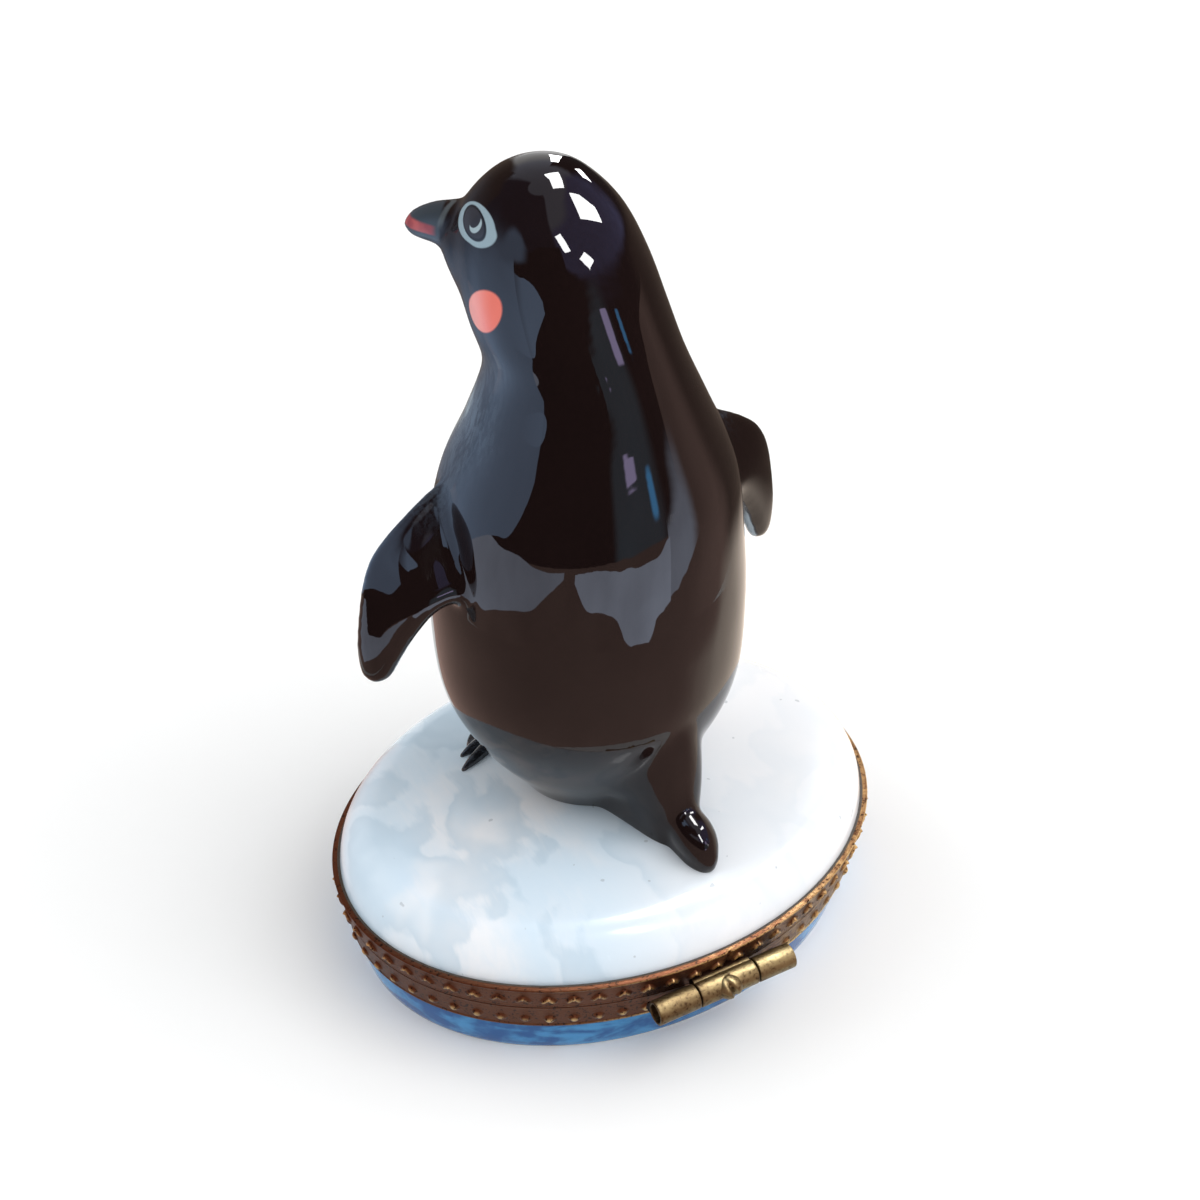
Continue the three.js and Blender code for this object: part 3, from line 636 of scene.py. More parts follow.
# %% Tubes of the hinge
BORE_RADIUS, MOUTH_RADIUS, PIN_RADIUS, PIN_INSET = 0.65, 0.92, 0.6, 0.6


def turned(outline):
    """A closed outline of (place along the pin, radius), turned round the pin."""
    return skin(hoops(outline, (0, HINGE_Y, HINGE_Z), 0, 48), loop=True)


def merged(*shapes):
    points, faces, start = [], [], 0
    for shape_points, shape_faces in shapes:
        points.append(shape_points)
        faces += [tuple(index + start for index in face) for face in shape_faces]
        start += len(shape_points)
    return np.vstack(points), faces


def tube(low, high, open_low, open_high):
    """A knuckle's wall, with its bore opened wider at a free end."""
    ends = [MOUTH_RADIUS if is_open else BORE_RADIUS for is_open in (open_low, open_high)]
    outline = [(low, ends[0]), (low, TUBE_RADIUS), (high, TUBE_RADIUS), (high, ends[1])]
    if open_high:
        outline += [(high - 0.7, MOUTH_RADIUS), (high - 0.8, BORE_RADIUS)]
    if open_low:
        outline += [(low + 0.8, BORE_RADIUS), (low + 0.7, MOUTH_RADIUS)]
    return turned(rounded(outline, 0.14))


print("hinge tubes are", 2 * TUBE_RADIUS, "mm thick on a pin of", 2 * PIN_RADIUS, "mm")

# %% Leaf and boss of the hinge
def leaf(low, high, bottom, top):
    """A plate from the mount to the tube: under the pin for the lower mount, over it for the upper."""
    wall = [HALF_WIDTH + neck(height) + BAND_OUTSIDE - 0.1 for height in (bottom, top)]
    near, far = HINGE_Y - 0.9, HINGE_Y - 0.62
    if top < HINGE_Z:
        at_tube = [(far, HINGE_Z - 1.04), (near, HINGE_Z - 0.05)]
    else:
        at_tube = [(near, bottom), (far, HINGE_Z + 1.04)]
    outline = rounded([(wall[0], bottom), *at_tube, (wall[1], top)], 0.12)
    return skin([[(x, y, z) for y, z in outline] for x in (low + 0.1, high - 0.1)])


def boss(middle):
    """A bean-shaped boss with a notch across it."""
    tilt = math.radians(15)
    angles = circle(40)
    rings = []
    for turn in np.linspace(0.06, math.pi - 0.06, 24):
        side, reach = np.cos(turn) + 0 * angles, np.sin(turn) * np.cos(angles)
        lift = np.sin(turn) * np.sin(angles)
        notch = 1 - 0.42 * np.exp(-((side - 0.35 * lift) / 0.2) ** 2) * (reach > 0)
        out, up = 0.55 + 1.45 * reach * notch, 1.2 * lift
        rings.append(np.stack([middle + 1.35 * side, HINGE_Y + out * math.cos(tilt) - up * math.sin(tilt),
                               HINGE_Z + out * math.sin(tilt) + up * math.cos(tilt)], -1))
    return skin(rings)


print("the pin's line is", round(HINGE_Y - HALF_WIDTH, 2), "mm outside the oval")

# %% Hinge
def hinge_piece(name, body, node, *shapes):
    settle(new_piece(name, *merged(*shapes), hinge_brass, 50), body, "hinge_brass", node)


LEFT, RIGHT, CENTRE = (3.15, 7.65), (-7.65, -3.55), (-3.4, 3.0)
lower_leaf, upper_leaf = (HINGE_Z - 1.1, LOWER_TOP), (UPPER_BOTTOM, HINGE_Z + 1.1)
hinge_piece("left_knuckle", "base", "hinge_knuckle_left", tube(*LEFT, False, True), leaf(*LEFT, *lower_leaf))
hinge_piece("right_knuckle", "base", "hinge_knuckle_right", tube(*RIGHT, True, False), leaf(*RIGHT, *lower_leaf))
hinge_piece("middle_knuckle", "lid", "hinge_knuckle_centre", tube(*CENTRE, False, False),
            leaf(*CENTRE, *upper_leaf), boss(sum(CENTRE) / 2))
pin_low, pin_high = RIGHT[0] + PIN_INSET, LEFT[1] - PIN_INSET
pin_outline = [(pin_low, 0.02), (pin_low, 0.5), (pin_low + 0.15, PIN_RADIUS), (pin_high - 0.15, PIN_RADIUS),
               (pin_high, 0.5), (pin_high, 0.02)]
hinge_piece("pin", "base", "hinge_pin", turned(pin_outline))

# %% [markdown]
# ## Clasp
#
# At the front a slotted tongue on the lid springs down over a stud on the base. A Solidify modifier could thicken
# the tongue's outline, but its points also have to move back so that it hugs the oval. So both faces are written
# down, and only the edges are left to a Bevel modifier. The stud is turned, like the tubes of the hinge.

# %% Clasp tongue
STUD_HEIGHT = BASE_HEIGHT + LOWER_BAND_HEIGHT / 2
SLOT_RADIUS, TIP_HALF, TONGUE_HALF, TONGUE_BOTTOM, TONGUE_TOP = 1.0, 2.3, 3.2, 4.95, RIM - 0.35
PLATE, PLATE_CLEARANCE = 0.9, 0.3
PLATE_FRONT = HALF_WIDTH + BAND_OUTSIDE + PLATE_CLEARANCE + PLATE


def hugging(px, depth, pz):
    """A point of the tongue, moved back with the oval and the leaning band behind it."""
    sag = HALF_WIDTH * (1 - math.sqrt(1 - (px / HALF_LENGTH) ** 2))
    lean = max(0.0, -neck(max(pz, HINGE_Z)))
    return px, depth + sag + lean - PLATE_FRONT, pz


flank = curve((TIP_HALF, TONGUE_BOTTOM), (TIP_HALF, UPPER_BOTTOM), (TONGUE_HALF, UPPER_BOTTOM), 8)
top_edge = curve((TONGUE_HALF, UPPER_BOTTOM), (TONGUE_HALF, TONGUE_TOP), (0, TONGUE_TOP), 12)
half = [(SLOT_RADIUS, TONGUE_BOTTOM), *flank, *top_edge[1:]]
slot_arc = np.radians(np.linspace(180, 0, 14))
tongue_outline = [*half, *[(-px, pz) for px, pz in half[::-1][1:]],
                  *[(SLOT_RADIUS * math.cos(a), STUD_HEIGHT + SLOT_RADIUS * math.sin(a)) for a in slot_arc]]
count = len(tongue_outline)
points = [hugging(px, depth, pz) for depth in (0, PLATE) for px, pz in tongue_outline]
faces = [tuple(range(count)), tuple(range(count, 2 * count))]
faces += [(i, (i + 1) % count, (i + 1) % count + count, i + count) for i in range(count)]
tongue = new_piece("clasp_plate", points, faces, hinge_brass)
soften = tongue.modifiers.new("soft_edges", "BEVEL")
soften.width = 0.22 * MM
soften.segments = 3
soften.limit_method = "ANGLE"
bake_modifiers(tongue)
shade(tongue, 40)
settle(tongue, "lid", "hinge_brass", "clasp_tongue")

# %% Clasp stud
stud_root = HALF_WIDTH + neck(STUD_HEIGHT) + BAND_OUTSIDE
stud_outline = [(0.0, 0.5), (0.75, 0.5), (0.95, 0.7), (1.35, 0.7), (1.55, 0.55), (1.68, 0.3), (1.72, 0.02)]
stud_rings = hoops([(-out, radius) for out, radius in stud_outline], (0, -stud_root, STUD_HEIGHT), 1, 32)
stud = new_piece("clasp_button", *skin(stud_rings), hinge_brass, 50)
settle(stud, "base", "hinge_brass", "clasp_stud")

# %% [markdown]
# ## The penguin's shape
#
# Body, beak, flippers and tail were cast apart, luted together wet and glazed over, so nothing shows where one
# ends. Each is a loft: ellipses along a spline. A Boolean union would leave hard creases, so the lofts are
# overlapped, a Remesh modifier wraps one skin round them all, and a Smooth modifier rounds the roots more than
# the rest.

# %% Lofts
def spline(stations, steps):
    """A smooth run through stations, the same curve that the measured pieces follow."""
    points = np.asarray(stations, float)
    ends = np.vstack([2 * points[0] - points[1], points, 2 * points[-1] - points[-2]])
    run = []
    for place in np.linspace(0, len(points) - 1, steps):
        i = min(int(place), len(points) - 2)
        t = place - i
        a, b, c, d = ends[i:i + 4]
        v, w = (c - a) / 2, (d - b) / 2
        run.append((2 * b - 2 * c + v + w) * t ** 3 + (-3 * b + 3 * c - 2 * v - w) * t ** 2 + v * t + b)
    return np.array(run)


def loft(stations, steps, sides):
    """A skin over ellipses, by stations of (centre, half width, half height), the halves as vectors."""
    angles = circle(sides)
    rings = [centre + np.outer(np.cos(angles), across) + np.outer(np.sin(angles), along)
             for centre, across, along in zip(*[spline(row, steps) for row in zip(*stations)])]
    tip, before = rings[-1].mean(0), rings[-2] - rings[-2].mean(0)
    rings[-1] = tip + (rings[-1] - tip) * 0.5 + 1e-4 * before
    return skin(rings)


print("lofts run along splines")

# %% [markdown]
# The body is one row of ellipses from the snow to the top of the head, by shares of its height, width and depth:
# (height, to its left, forward, width, depth). It could be sculpted, but a short table keeps to the measured body.

# %% Body
FIGURE_HEIGHT, BODY_WIDTH, BODY_DEPTH, BODY_FORWARD = 66.6, 30.8, 29.2, 3.3
FIGURE_OUTLINE = np.array([
    [-0.02, 0, -0.01, 0.44, 0.46],
    [0.03, 0, -0.01, 0.58, 0.6],
    [0.1, 0, -0.015, 0.79, 0.8],
    [0.19, 0, -0.01, 0.96, 0.96],
    [0.31, 0, 0, 1, 1],
    [0.42, 0, 0.01, 0.985, 0.98],
    [0.53, -0.012, 0.015, 0.91, 0.91],
    [0.63, -0.004, -0.003, 0.738, 0.738],
    [0.72, 0.008, -0.004, 0.594, 0.604],
    [0.79, 0.042, 0.034, 0.58, 0.585],
    [0.86, 0.072, 0.068, 0.556, 0.556],
    [0.925, 0.095, 0.083, 0.476, 0.476],
    [0.97, 0.096, 0.094, 0.315, 0.315],
    [0.992, 0.093, 0.087, 0.17, 0.17],
    [1, 0.09, 0.083, 0, 0],
])


def figure_at(share):
    """The body's middle at a share of its height, and its half width and half depth there."""
    side, forward, width, depth = [np.interp(share, FIGURE_OUTLINE[:, 0], row) for row in FIGURE_OUTLINE.T[1:]]
    centre = (side * BODY_WIDTH, -BODY_FORWARD - forward * BODY_DEPTH, CROWN + share * FIGURE_HEIGHT)
    return np.array(centre), width * BODY_WIDTH / 2, depth * BODY_DEPTH / 2


def body_loft():
    stations = [figure_at(share) for share in FIGURE_OUTLINE[:, 0]]
    return loft([(centre, (width, 0, 0), (0, depth, 0)) for centre, width, depth in stations], 220, 160)


print("the body is", BODY_WIDTH, "mm wide and", FIGURE_HEIGHT, "mm tall")

# %% [markdown]
# The head is turned 48 degrees to the penguin's left. The beak follows that gaze, and a soft throat fills the
# corner under it. A cone would do for a toy's beak; ellipses that shrink and drop give the round, blunt bill that a
# mould leaves.

# %% Beak and throat
HEAD_TURN = math.radians(48)
GAZE = np.array([math.sin(HEAD_TURN), -math.cos(HEAD_TURN), 0.0])
GAZE_LEFT = np.array([math.cos(HEAD_TURN), math.sin(HEAD_TURN), 0.0])
BEAK_HEIGHT, BEAK_WIDTH, BEAK_DEPTH, BEAK_LENGTH = 60.4, 4.4, 4.2, 5.0
BEAK_MIDDLE, face_width, face_depth = figure_at(BEAK_HEIGHT / FIGURE_HEIGHT)
FACE_REACH = math.hypot(GAZE[0] * face_width, GAZE[1] * face_depth)
BEAK_REACH = FACE_REACH + BEAK_LENGTH
BEAK_SIZES = [(0.3, 0.2, 1.4), (0.62, 0.2, 1.06), (0.8, 0.2, 0.84), (0.94, 0.26, 0.54), (1.01, 0.3, 0.1)]
THROAT, THROAT_HALF = np.array([2.5, -5.3, 0.0]), 4.2


def beak_loft():
    stations = []
    for out, drop, size in BEAK_SIZES:
        centre = BEAK_MIDDLE + GAZE * BEAK_REACH * out
        centre[2] = CROWN + BEAK_HEIGHT - drop * BEAK_DEPTH
        stations.append((centre, GAZE_LEFT * BEAK_WIDTH / 2 * size, (0, 0, BEAK_DEPTH / 2 * size)))
    return loft(stations, 40, 40)


def throat_loft():
    rows = [(77, 6.2, 2.6), (75.3, 6.4, 3.1), (73.5, 5.95, 3.2), (71.5, 5.15, 3.2), (69.5, 4.3, 3.1),
            (67, 3.5, 3.1), (64, 2.7, 3.0)]
    return loft([(THROAT + GAZE * out + (0, 0, height), GAZE_LEFT * THROAT_HALF, GAZE * thick)
                 for height, out, thick in rows], 40, 48)


print("the beak's tip is", round(BEAK_REACH, 1), "mm from the head's middle")

# %% [markdown]
# Each flipper reaches out from the shoulder and droops to a blunt tip. A bent sheet with a Solidify modifier would
# have an even edge, but a loft can get narrower and thinner on the way. Its path is bent by shares of its reach
# and drop.

# %% Flippers
SHOULDER_HEIGHT, FLIPPER_WIDTH, FLIPPER_THICKNESS = 32.5, 8.2, 3.0
SHOULDER, SHOULDER_HALF, _ = figure_at(SHOULDER_HEIGHT / FIGURE_HEIGHT)
BENDS = np.array([[-0.4, 0.06], [0, 0.11], [0.55, 0.24], [0.84, 0.62], [0.97, 0.93], [1.0, 1.02]])
FLIPPER_SIZES = [1.4, 1.3, 0.98, 0.62, 0.36, 0.06]


def unit(vector):
    return vector / np.linalg.norm(vector)


def flipper_loft(side, reach, drop, sweep, outward):
    facing = unit(np.array([outward * side, 0.85, 0.45]))
    out, down = BENDS.T
    path = np.stack([SHOULDER[0] + side * (SHOULDER_HALF + reach * out), SHOULDER[1] + sweep * out,
                     CROWN + SHOULDER_HEIGHT - drop * down], -1)
    run = spline(path, 51)
    stations = []
    for i, size in enumerate(FLIPPER_SIZES):
        heading = unit(run[min(i * 10 + 1, 50)] - run[max(i * 10 - 1, 0)])
        chord = unit(np.cross(heading, facing))
        thick = unit(np.cross(chord, heading)) * FLIPPER_THICKNESS / 2 * math.sqrt(size)
        stations.append((path[i], chord * FLIPPER_WIDTH / 2 * size, thick))
    return loft(stations, 60, 48)


print("the shoulders are at", SHOULDER.round(1))

# %% [markdown]
# The tail is a ridge that runs down from the back without an undercut, so that the glaze shows no dark hollow
# beside it. The rump swells round its root, and it ends in a glossy egg that lies back on the snow. All three are
# cut off inside the lid's wall.

# %% Tail
SINK = 1.1
TAIL = [(-5, -0.6, 23, 7.6, 10.0), (0, -1.0, 23.5, 6.8, 11.0), (5, -1.7, 23.6, 5.3, 11.4),
        (8.4, -1.85, 23.4, 4.1, 10.8), (10.2, -1.9, 22.6, 3.3, 9.6), (11.0, -1.9, 21.4, 2.75, 8.0),
        (11.4, -1.9, 20.0, 2.3, 6.6), (11.7, -1.95, 18.8, 1.95, 5.2), (12.0, -2.1, 17.8, 1.75, 4.0),
        (12.5, -2.3, 17, 1.85, 3.1), (13.3, -2.5, 16.8, 1.95, 2.5), (14.8, -2.45, 16.6, 1.75, 1.8),
        (16.3, -2.4, 16.5, 1.05, 1.1), (17, -2.4, 16.4, 0.1, 0.1)]
RUMP = [(-5, 0, 25, 8.0, 8.0), (0, 0, 25.5, 7.8, 7.6), (4, -0.2, 25.6, 7.0, 7.0), (7, -0.7, 25.4, 5.6, 6.4),
        (9.2, -1.3, 25, 4.0, 5.6), (10.6, -1.8, 24.4, 2.3, 4.2), (11.3, -2.1, 24, 0.9, 2.0),
        (11.6, -2.2, 23.8, 0.1, 0.1)]
TAIL_EGG = [(9.9, -2.2, 19.2, 0.1, 0.1), (10.3, -2.2, 19.1, 1.0, 0.95), (11.4, -2.3, 18.8, 1.75, 1.7),
            (13, -2.4, 18.3, 2.1, 2.05), (14.8, -2.45, 17.7, 1.85, 1.8), (16.3, -2.4, 17.0, 1.1, 1.1),
            (16.9, -2.4, 16.7, 0.4, 0.4), (17.1, -2.4, 16.6, 0.05, 0.05)]


def tail_loft(stations, back=0.0):
    """Upright ellipses of (place along Y, X, height, half width, half height), leaning back."""
    points, faces = loft([((px, py, pz), (width, 0, 0), (0, back * height, height))
                          for py, px, pz, width, height in stations], 60, 56)
    points[:, 2] = np.maximum(points[:, 2], CROWN - SINK)
    return points, faces


print("the tail reaches", max(row[0] for row in TAIL_EGG), "mm back")

# %% [markdown]
# ## Black glaze
#
# The penguin is brushed black over white. The breast is left cream, and the black is feathered out over it in
# grey strokes. Eye, cheek and mouth are painted with a small brush, and a thin pale line is drawn round the bill's
# root. Each mark is placed by a point on the head and a direction it faces, so a sum of distances from that point
# draws it, and the same sum on the mirrored point draws the other side.

# %% Marks on the head
black = new_finish("black_glaze")
step, blend, noise = black.step, black.blend, black.noise
where = black.place()
x, y, z = black.split(where)
HEAD_MIDDLE = Vector((2.8, -5.7, 78.0))
MIRROR = Vector(GAZE_LEFT)


def brush_frame(place, facing, is_other_side):
    """Sideways and upward distance from a mark's middle, and 1 on the side of the head that it is on."""
    across = Vector((0, 0, 1)).cross(facing).normalized()
    axes = [across, facing.cross(across).normalized(), facing]
    if is_other_side:
        axes = [axis.reflect(MIRROR) for axis in axes]
        place = HEAD_MIDDLE + (place - HEAD_MIDDLE).reflect(MIRROR)
    sideways, upward, depth = [black.along(where, axis, place) for axis in axes]
    return sideways, upward, step(depth, -2.6, -2.2)


def spot(sideways, upward, middle, halves, turn=0.0):
    """How far a point is from a tilted oval's middle: 1 on its edge."""
    cosine, sine = math.cos(math.radians(turn)), math.sin(math.radians(turn))
    sideways, upward = sideways - middle[0], upward - middle[1]
    long = (cosine * sideways + sine * upward) / halves[0]
    short = (cosine * upward - sine * sideways) / halves[1]
    return (long * long + short * short) ** 0.5


print("marks are measured from", tuple(HEAD_MIDDLE))

# %% [markdown]
# The breast's edge is an angle round the body. Near the neck it swings round to follow the gaze. Noise that is
# drawn out along the feathers breaks the edge into strokes, from slate on the black to cream.

# %% Breast and back
turning = step(z, 54.0, 72.0)
front_x = turning * GAZE[0]
front_y = turning * (GAZE[1] + 1.0) - 1.0
from_x = x - step(z, 60.0, 74.0) * 2.5
from_y = y + 4.2
round_body = (from_x * front_x + from_y * front_y) / ((from_x * from_x + from_y * from_y) ** 0.5 + 0.01)
feathers = noise(black.stretch(where, (1.0, 1.0, 0.22)), 0.75, 4.0, 0.6)
streaks = noise(black.stretch(where, (1.6, 1.6, 0.16)), 1.6, 3.0, 0.3)
breast_edge = 0.7 - 0.26 * step(z, 44.0, 58.0) + 0.34 * step(z, 59.0, 65.0)
reach = round_body - breast_edge + 0.24 * (feathers - 0.5) + 0.16 * (streaks - 0.5)
hood = step(z + 2.4 * (feathers - 0.5), 68.5, 66.0)
body_share = ((x / (BODY_WIDTH / 2)) ** 2 + ((y + BODY_FORWARD) / (BODY_DEPTH / 2)) ** 2) ** 0.5
on_body = step(body_share, 1.14, 1.06) * hood
DEEP_BLACK, BROWN_BLACK, SLATE_STROKE = (0.0075, 0.0037, 0.0036), (0.0105, 0.0052, 0.0048), (0.05, 0.062, 0.08)
tint = blend(noise(where, 0.12), DEEP_BLACK, BROWN_BLACK)
slate_strokes = step(reach, -0.7, -0.15) * step(streaks + 0.5 * feathers, 0.62, 0.86)
tint = blend(0.7 * slate_strokes * step(z, 44.0, 52.0) * on_body, tint, SLATE_STROKE)
BREAST = [(-0.3, -0.03, (0.075, 0.095, 0.12)), (-0.06, 0.1, (0.33, 0.4, 0.45)), (0.05, 0.25, (0.8, 0.79, 0.74))]
for low, high, paint in BREAST:
    tint = blend(step(reach, low, high) * on_body, tint, paint)
print("breast edge drawn")

# %% [markdown]
# An eye is a pale oval with a dark one in it and a crescent of light, and a cheek is a tilted oval of rouge. The
# bill has a thin pale line round its root and a red mouth along its side. They could be painted on an image, but
# sums stay crisp at any size.

# %% Eyes and cheeks
EYE, EYE_FACING = Vector((9.39, -4.91, 79.21)), Vector((0.797, 0.11, 0.593)).normalized()
CHEEK, CHEEK_FACING = Vector((10.25, -2.4, 72.49)), Vector((0.932, 0.341, -0.124)).normalized()
ROUGE, PALE_ROUGE = (0.8, 0.155, 0.085), (0.82, 0.3, 0.24)
EYE_PALE, EYE_DARK = (0.27, 0.36, 0.41), (0.03, 0.03, 0.038)
EYE_RIM, EYE_LIGHT = (0.012, 0.012, 0.015), (0.33, 0.42, 0.46)
for is_other_side in (False, True):
    a, b, side = brush_frame(CHEEK, CHEEK_FACING, is_other_side)
    cheek = spot(a, b, (-0.33, -0.29), (2.62, 1.7), 52)
    tint = blend(step(cheek, 1.05, 0.93) * side, tint, blend(step(a, 0.9, -1.8), ROUGE, PALE_ROUGE))
    a, b, side = brush_frame(EYE, EYE_FACING, is_other_side)
    corner = step(0.75 * a - 0.66 * b, 0.9, 1.9)
    outer = spot(a, b, (-0.6, -0.07), (2.8, 1.6), -5) - 0.08 * corner
    inner = spot(a, b, (-0.58, -0.05), (2.05, 1.1), -19)
    rim = step(inner, 0.8, 0.9) * step(inner, 1.04, 0.94)
    crescent = step(spot(a, b, (-0.16, -0.1), (0.72, 0.72)), 1.06, 0.9)
    crescent = crescent * step(spot(a, b, (-0.48, 0.18), (0.66, 0.66)), 0.92, 1.06)
    for mask, paint in ((step(outer, 1.03, 0.96), EYE_PALE), (step(inner, 1.05, 0.95), EYE_DARK), (rim, EYE_RIM),
                        (crescent, EYE_LIGHT)):
        tint = blend(mask * side, tint, paint)
print("eyes and cheeks drawn")

# %% Bill
ahead = black.along(where, GAZE, HEAD_MIDDLE)
beside = abs(black.along(where, GAZE_LEFT, HEAD_MIDDLE))
bill = step(ahead, 8.5, 8.9) * step(z, 75.0, 75.6)
BILL, BILL_LINE, RED, PALE_RED = (0.045, 0.057, 0.07), (0.26, 0.31, 0.34), (0.26, 0.045, 0.05), (0.42, 0.085, 0.08)
tint = blend(0.8 * bill, tint, BILL)
bill_root = step(abs(ahead - 7.95 - 0.36 * beside), 0.42, 0.1) * step(beside, 2.6, 1.8)
tint = blend(0.25 * bill_root * step(z, 76.4, 77.4), tint, BILL_LINE)
mouth = step(abs(z - 76.35), 0.56, 0.3) * step(ahead, 8.9, 9.6) * step(ahead, 12.7, 12.2)
uneven = step(noise(where, 0.8, 1.0), 0.35, 0.65)
tint = blend(mouth, tint, blend(uneven, RED, PALE_RED))
print("bill drawn")

# %% [markdown]
# The flippers are pale inside: there the surface faces the body. The glaze over everything is a strong film with
# slight waves, over a colour that is almost black, so the picture in it is that of the surroundings.

# %% Inside of the flippers, and the glaze itself
facing_x, _, _ = black.split(black.node("ShaderNodeTexCoord", output="Normal"))
inward = facing_x * (1.0 - 2.0 * step(x, -0.1, 0.1))
inside_flipper = step(inward, 0.25, 0.4) * step(body_share, 1.14, 1.2)
inside_flipper = inside_flipper * step(z, 42.5, 41.0) * step(z, 34.0, 35.0)
PALE_SLATE = (0.42, 0.5, 0.56)
tint = blend(0.9 * inside_flipper, tint, PALE_SLATE)
waves = black.bump(noise(where, 0.13, 1.0), 0.1, 0.3)
glaze(black, tint, 0.2 + 0.1 * streaks, 0.0, 0.02, 1.4, waves)

# %% [markdown]
# The lofts are wrapped with voxels of 0.3 mm. A vertex group says how much each point is smoothed: the roots and
# the broad back most, and flippers, tail and bill, which would shrink, hardly at all.

# %% The figure, wrapped
LEFT_FLIPPER, RIGHT_FLIPPER = (1, 9.1, 11.6, 2.0, 0.62), (-1, 6.2, 13.3, -1.5, 0.2)
lofts = [body_loft(), beak_loft(), throat_loft(), flipper_loft(*LEFT_FLIPPER), flipper_loft(*RIGHT_FLIPPER),
         tail_loft(TAIL), tail_loft(RUMP), tail_loft(TAIL_EGG, 0.2)]
penguin = new_piece("penguin", *merged(*lofts), black, 180)
wrap = penguin.modifiers.new("wrap", "REMESH")
wrap.mode = "VOXEL"
wrap.voxel_size = 0.305 * MM
bake_modifiers(penguin)
print("wrapped figure has", len(penguin.data.vertices), "points")

# %% The figure, smoothed
ROOTS = [  # middle, radius, strength
    (SHOULDER + (SHOULDER_HALF, 0, -1), 6.5, 1.0),
    (SHOULDER - (SHOULDER_HALF, 0, 1), 6.5, 1.0),
    (BEAK_MIDDLE + GAZE * FACE_REACH, 2.6, 0.3),
    (THROAT + GAZE * 7 + (0, 0, 70.5), 5.0, 0.8),
    (np.array([-1.6, 9.0, 26.0]), 6.5, 1.0),
]
coordinates = np.empty(len(penguin.data.vertices) * 3)
penguin.data.vertices.foreach_get("co", coordinates)
coordinates = coordinates.reshape(-1, 3) / MM
weight = np.zeros(len(coordinates))
for root, radius, strength in ROOTS:
    distance = np.linalg.norm(coordinates - root, axis=1)
    weight = np.maximum(weight, strength * np.clip(1.6 - distance / radius, 0, 1))
on_flipper = np.clip((np.abs(coordinates[:, 0]) - 15.6) / 1.5, 0, 1)
on_tail = np.clip((coordinates[:, 1] - 8) / 2, 0, 1) * np.clip((23 - coordinates[:, 2]) / 2, 0, 1)
on_bill = np.clip((coordinates - np.array(HEAD_MIDDLE)) @ GAZE - 6.8, 0, 1) * np.clip(coordinates[:, 2] - 72, 0, 1)
weight = np.maximum(weight, 0.8 * (1 - np.maximum.reduce([on_flipper, on_tail, on_bill])))
group = penguin.vertex_groups.new(name="roots")
for index in np.nonzero(weight > 0)[0]:
    group.add([int(index)], float(weight[index]), "REPLACE")
for name, times, limit in (("even", 7, ""), ("round_roots", 50, "roots")):
    smooth = penguin.modifiers.new(name, "SMOOTH")
    smooth.factor, smooth.iterations, smooth.vertex_group = 0.5, times, limit
bake_modifiers(penguin)
penguin.data.shade_smooth()
settle(penguin, "lid", "black_glaze", "penguin_body", "beak", "left_flipper", "right_flipper", "tail")

# %% [markdown]
# ## Feet
#
# The feet are three low toes each, pressed into the snow and painted in streaks of slate and near black. They
# are lofts again, kept apart from the wrapped figure because a remesh would melt such small toes.

# %% Feet
TOE_DARK, TOE_SLATE = (0.012, 0.014, 0.018), (0.05, 0.06, 0.075)
slate = new_finish("toe_glaze")
brushed = slate.noise(slate.stretch(slate.place(), (1.0, 3.0, 1.0)), 1.4, 3.0)
slate.shader(
    Base_Color=slate.blend(slate.step(brushed, 0.4, 0.7), TOE_DARK, TOE_SLATE),
    Roughness=0.14 + 0.1 * brushed,
    Coat_Weight=1.0,
    Coat_Roughness=0.03,
)
ANKLE_SIDE, ANKLE_FORWARD, TOE_LENGTH, TOE_WIDTH, TOE_HEIGHT = 3.4, 8.4, 10.0, 1.3, 0.95
TOES, WEB = ((5, 0.58), (15.8, 0.85), (25.7, 1.0)), (15, 0.72, 3.9, 0.55)


def crown_height(px, py):
    share = math.hypot(px / (HALF_LENGTH - SHOULDER_INSET), py / (HALF_WIDTH - SHOULDER_INSET))
    return CROWN - (DOME_RISE - SHOULDER_RISE) * share * share


def toe_loft(side, heading, length, width=TOE_WIDTH, height=TOE_HEIGHT):
    angle = math.radians(heading)
    ahead = np.array([side * math.cos(angle), math.sin(angle), 0.0])
    across = np.array([-ahead[1], ahead[0], 0.0])
    ankle = np.array([side * ANKLE_SIDE, -BODY_FORWARD - ANKLE_FORWARD, 0.0])
    stations = []
    for along, size in [(0.3, 1), (0.55, 1.1), (0.8, 0.85), (0.97, 0.35), (1, 0.05)]:
        centre = ankle + ahead * TOE_LENGTH * length * along
        centre[2] = crown_height(centre[0], centre[1]) + 0.05
        stations.append((centre, across * width / 2 * size, (0, 0, height * size)))
    return loft(stations, 24, 24)


for name, side, node in (("left_toes", 1, "left_foot"), ("right_toes", -1, "right_foot")):
    toes = [toe_loft(side, heading, length) for heading, length in TOES]
    piece = new_piece(name, *merged(toe_loft(side, *WEB), *toes), slate)
    settle(piece, "lid", "black_glaze", node)

# %% [markdown]
# ## Studio
#
# Three soft boxes light the whole. A glossy black object shows its surroundings more than its own colour, so six
# small panes are hung near the head, where their images lie as a window's do. Directions are given as the camera
# sees them: turned to the right, and raised. A lamp's power follows from how bright its face should be, where 1
# is white.

# %% Lamps
def from_camera(turn, raised):
    turn, raised = math.radians(turn), math.radians(raised)
    ahead = Vector((CAMERA_BACK.x, CAMERA_BACK.y, 0)).normalized()
    level = ahead * math.cos(turn) + CAMERA_RIGHT * math.sin(turn)
    return level * math.cos(raised) + Vector((0, 0, math.sin(raised)))


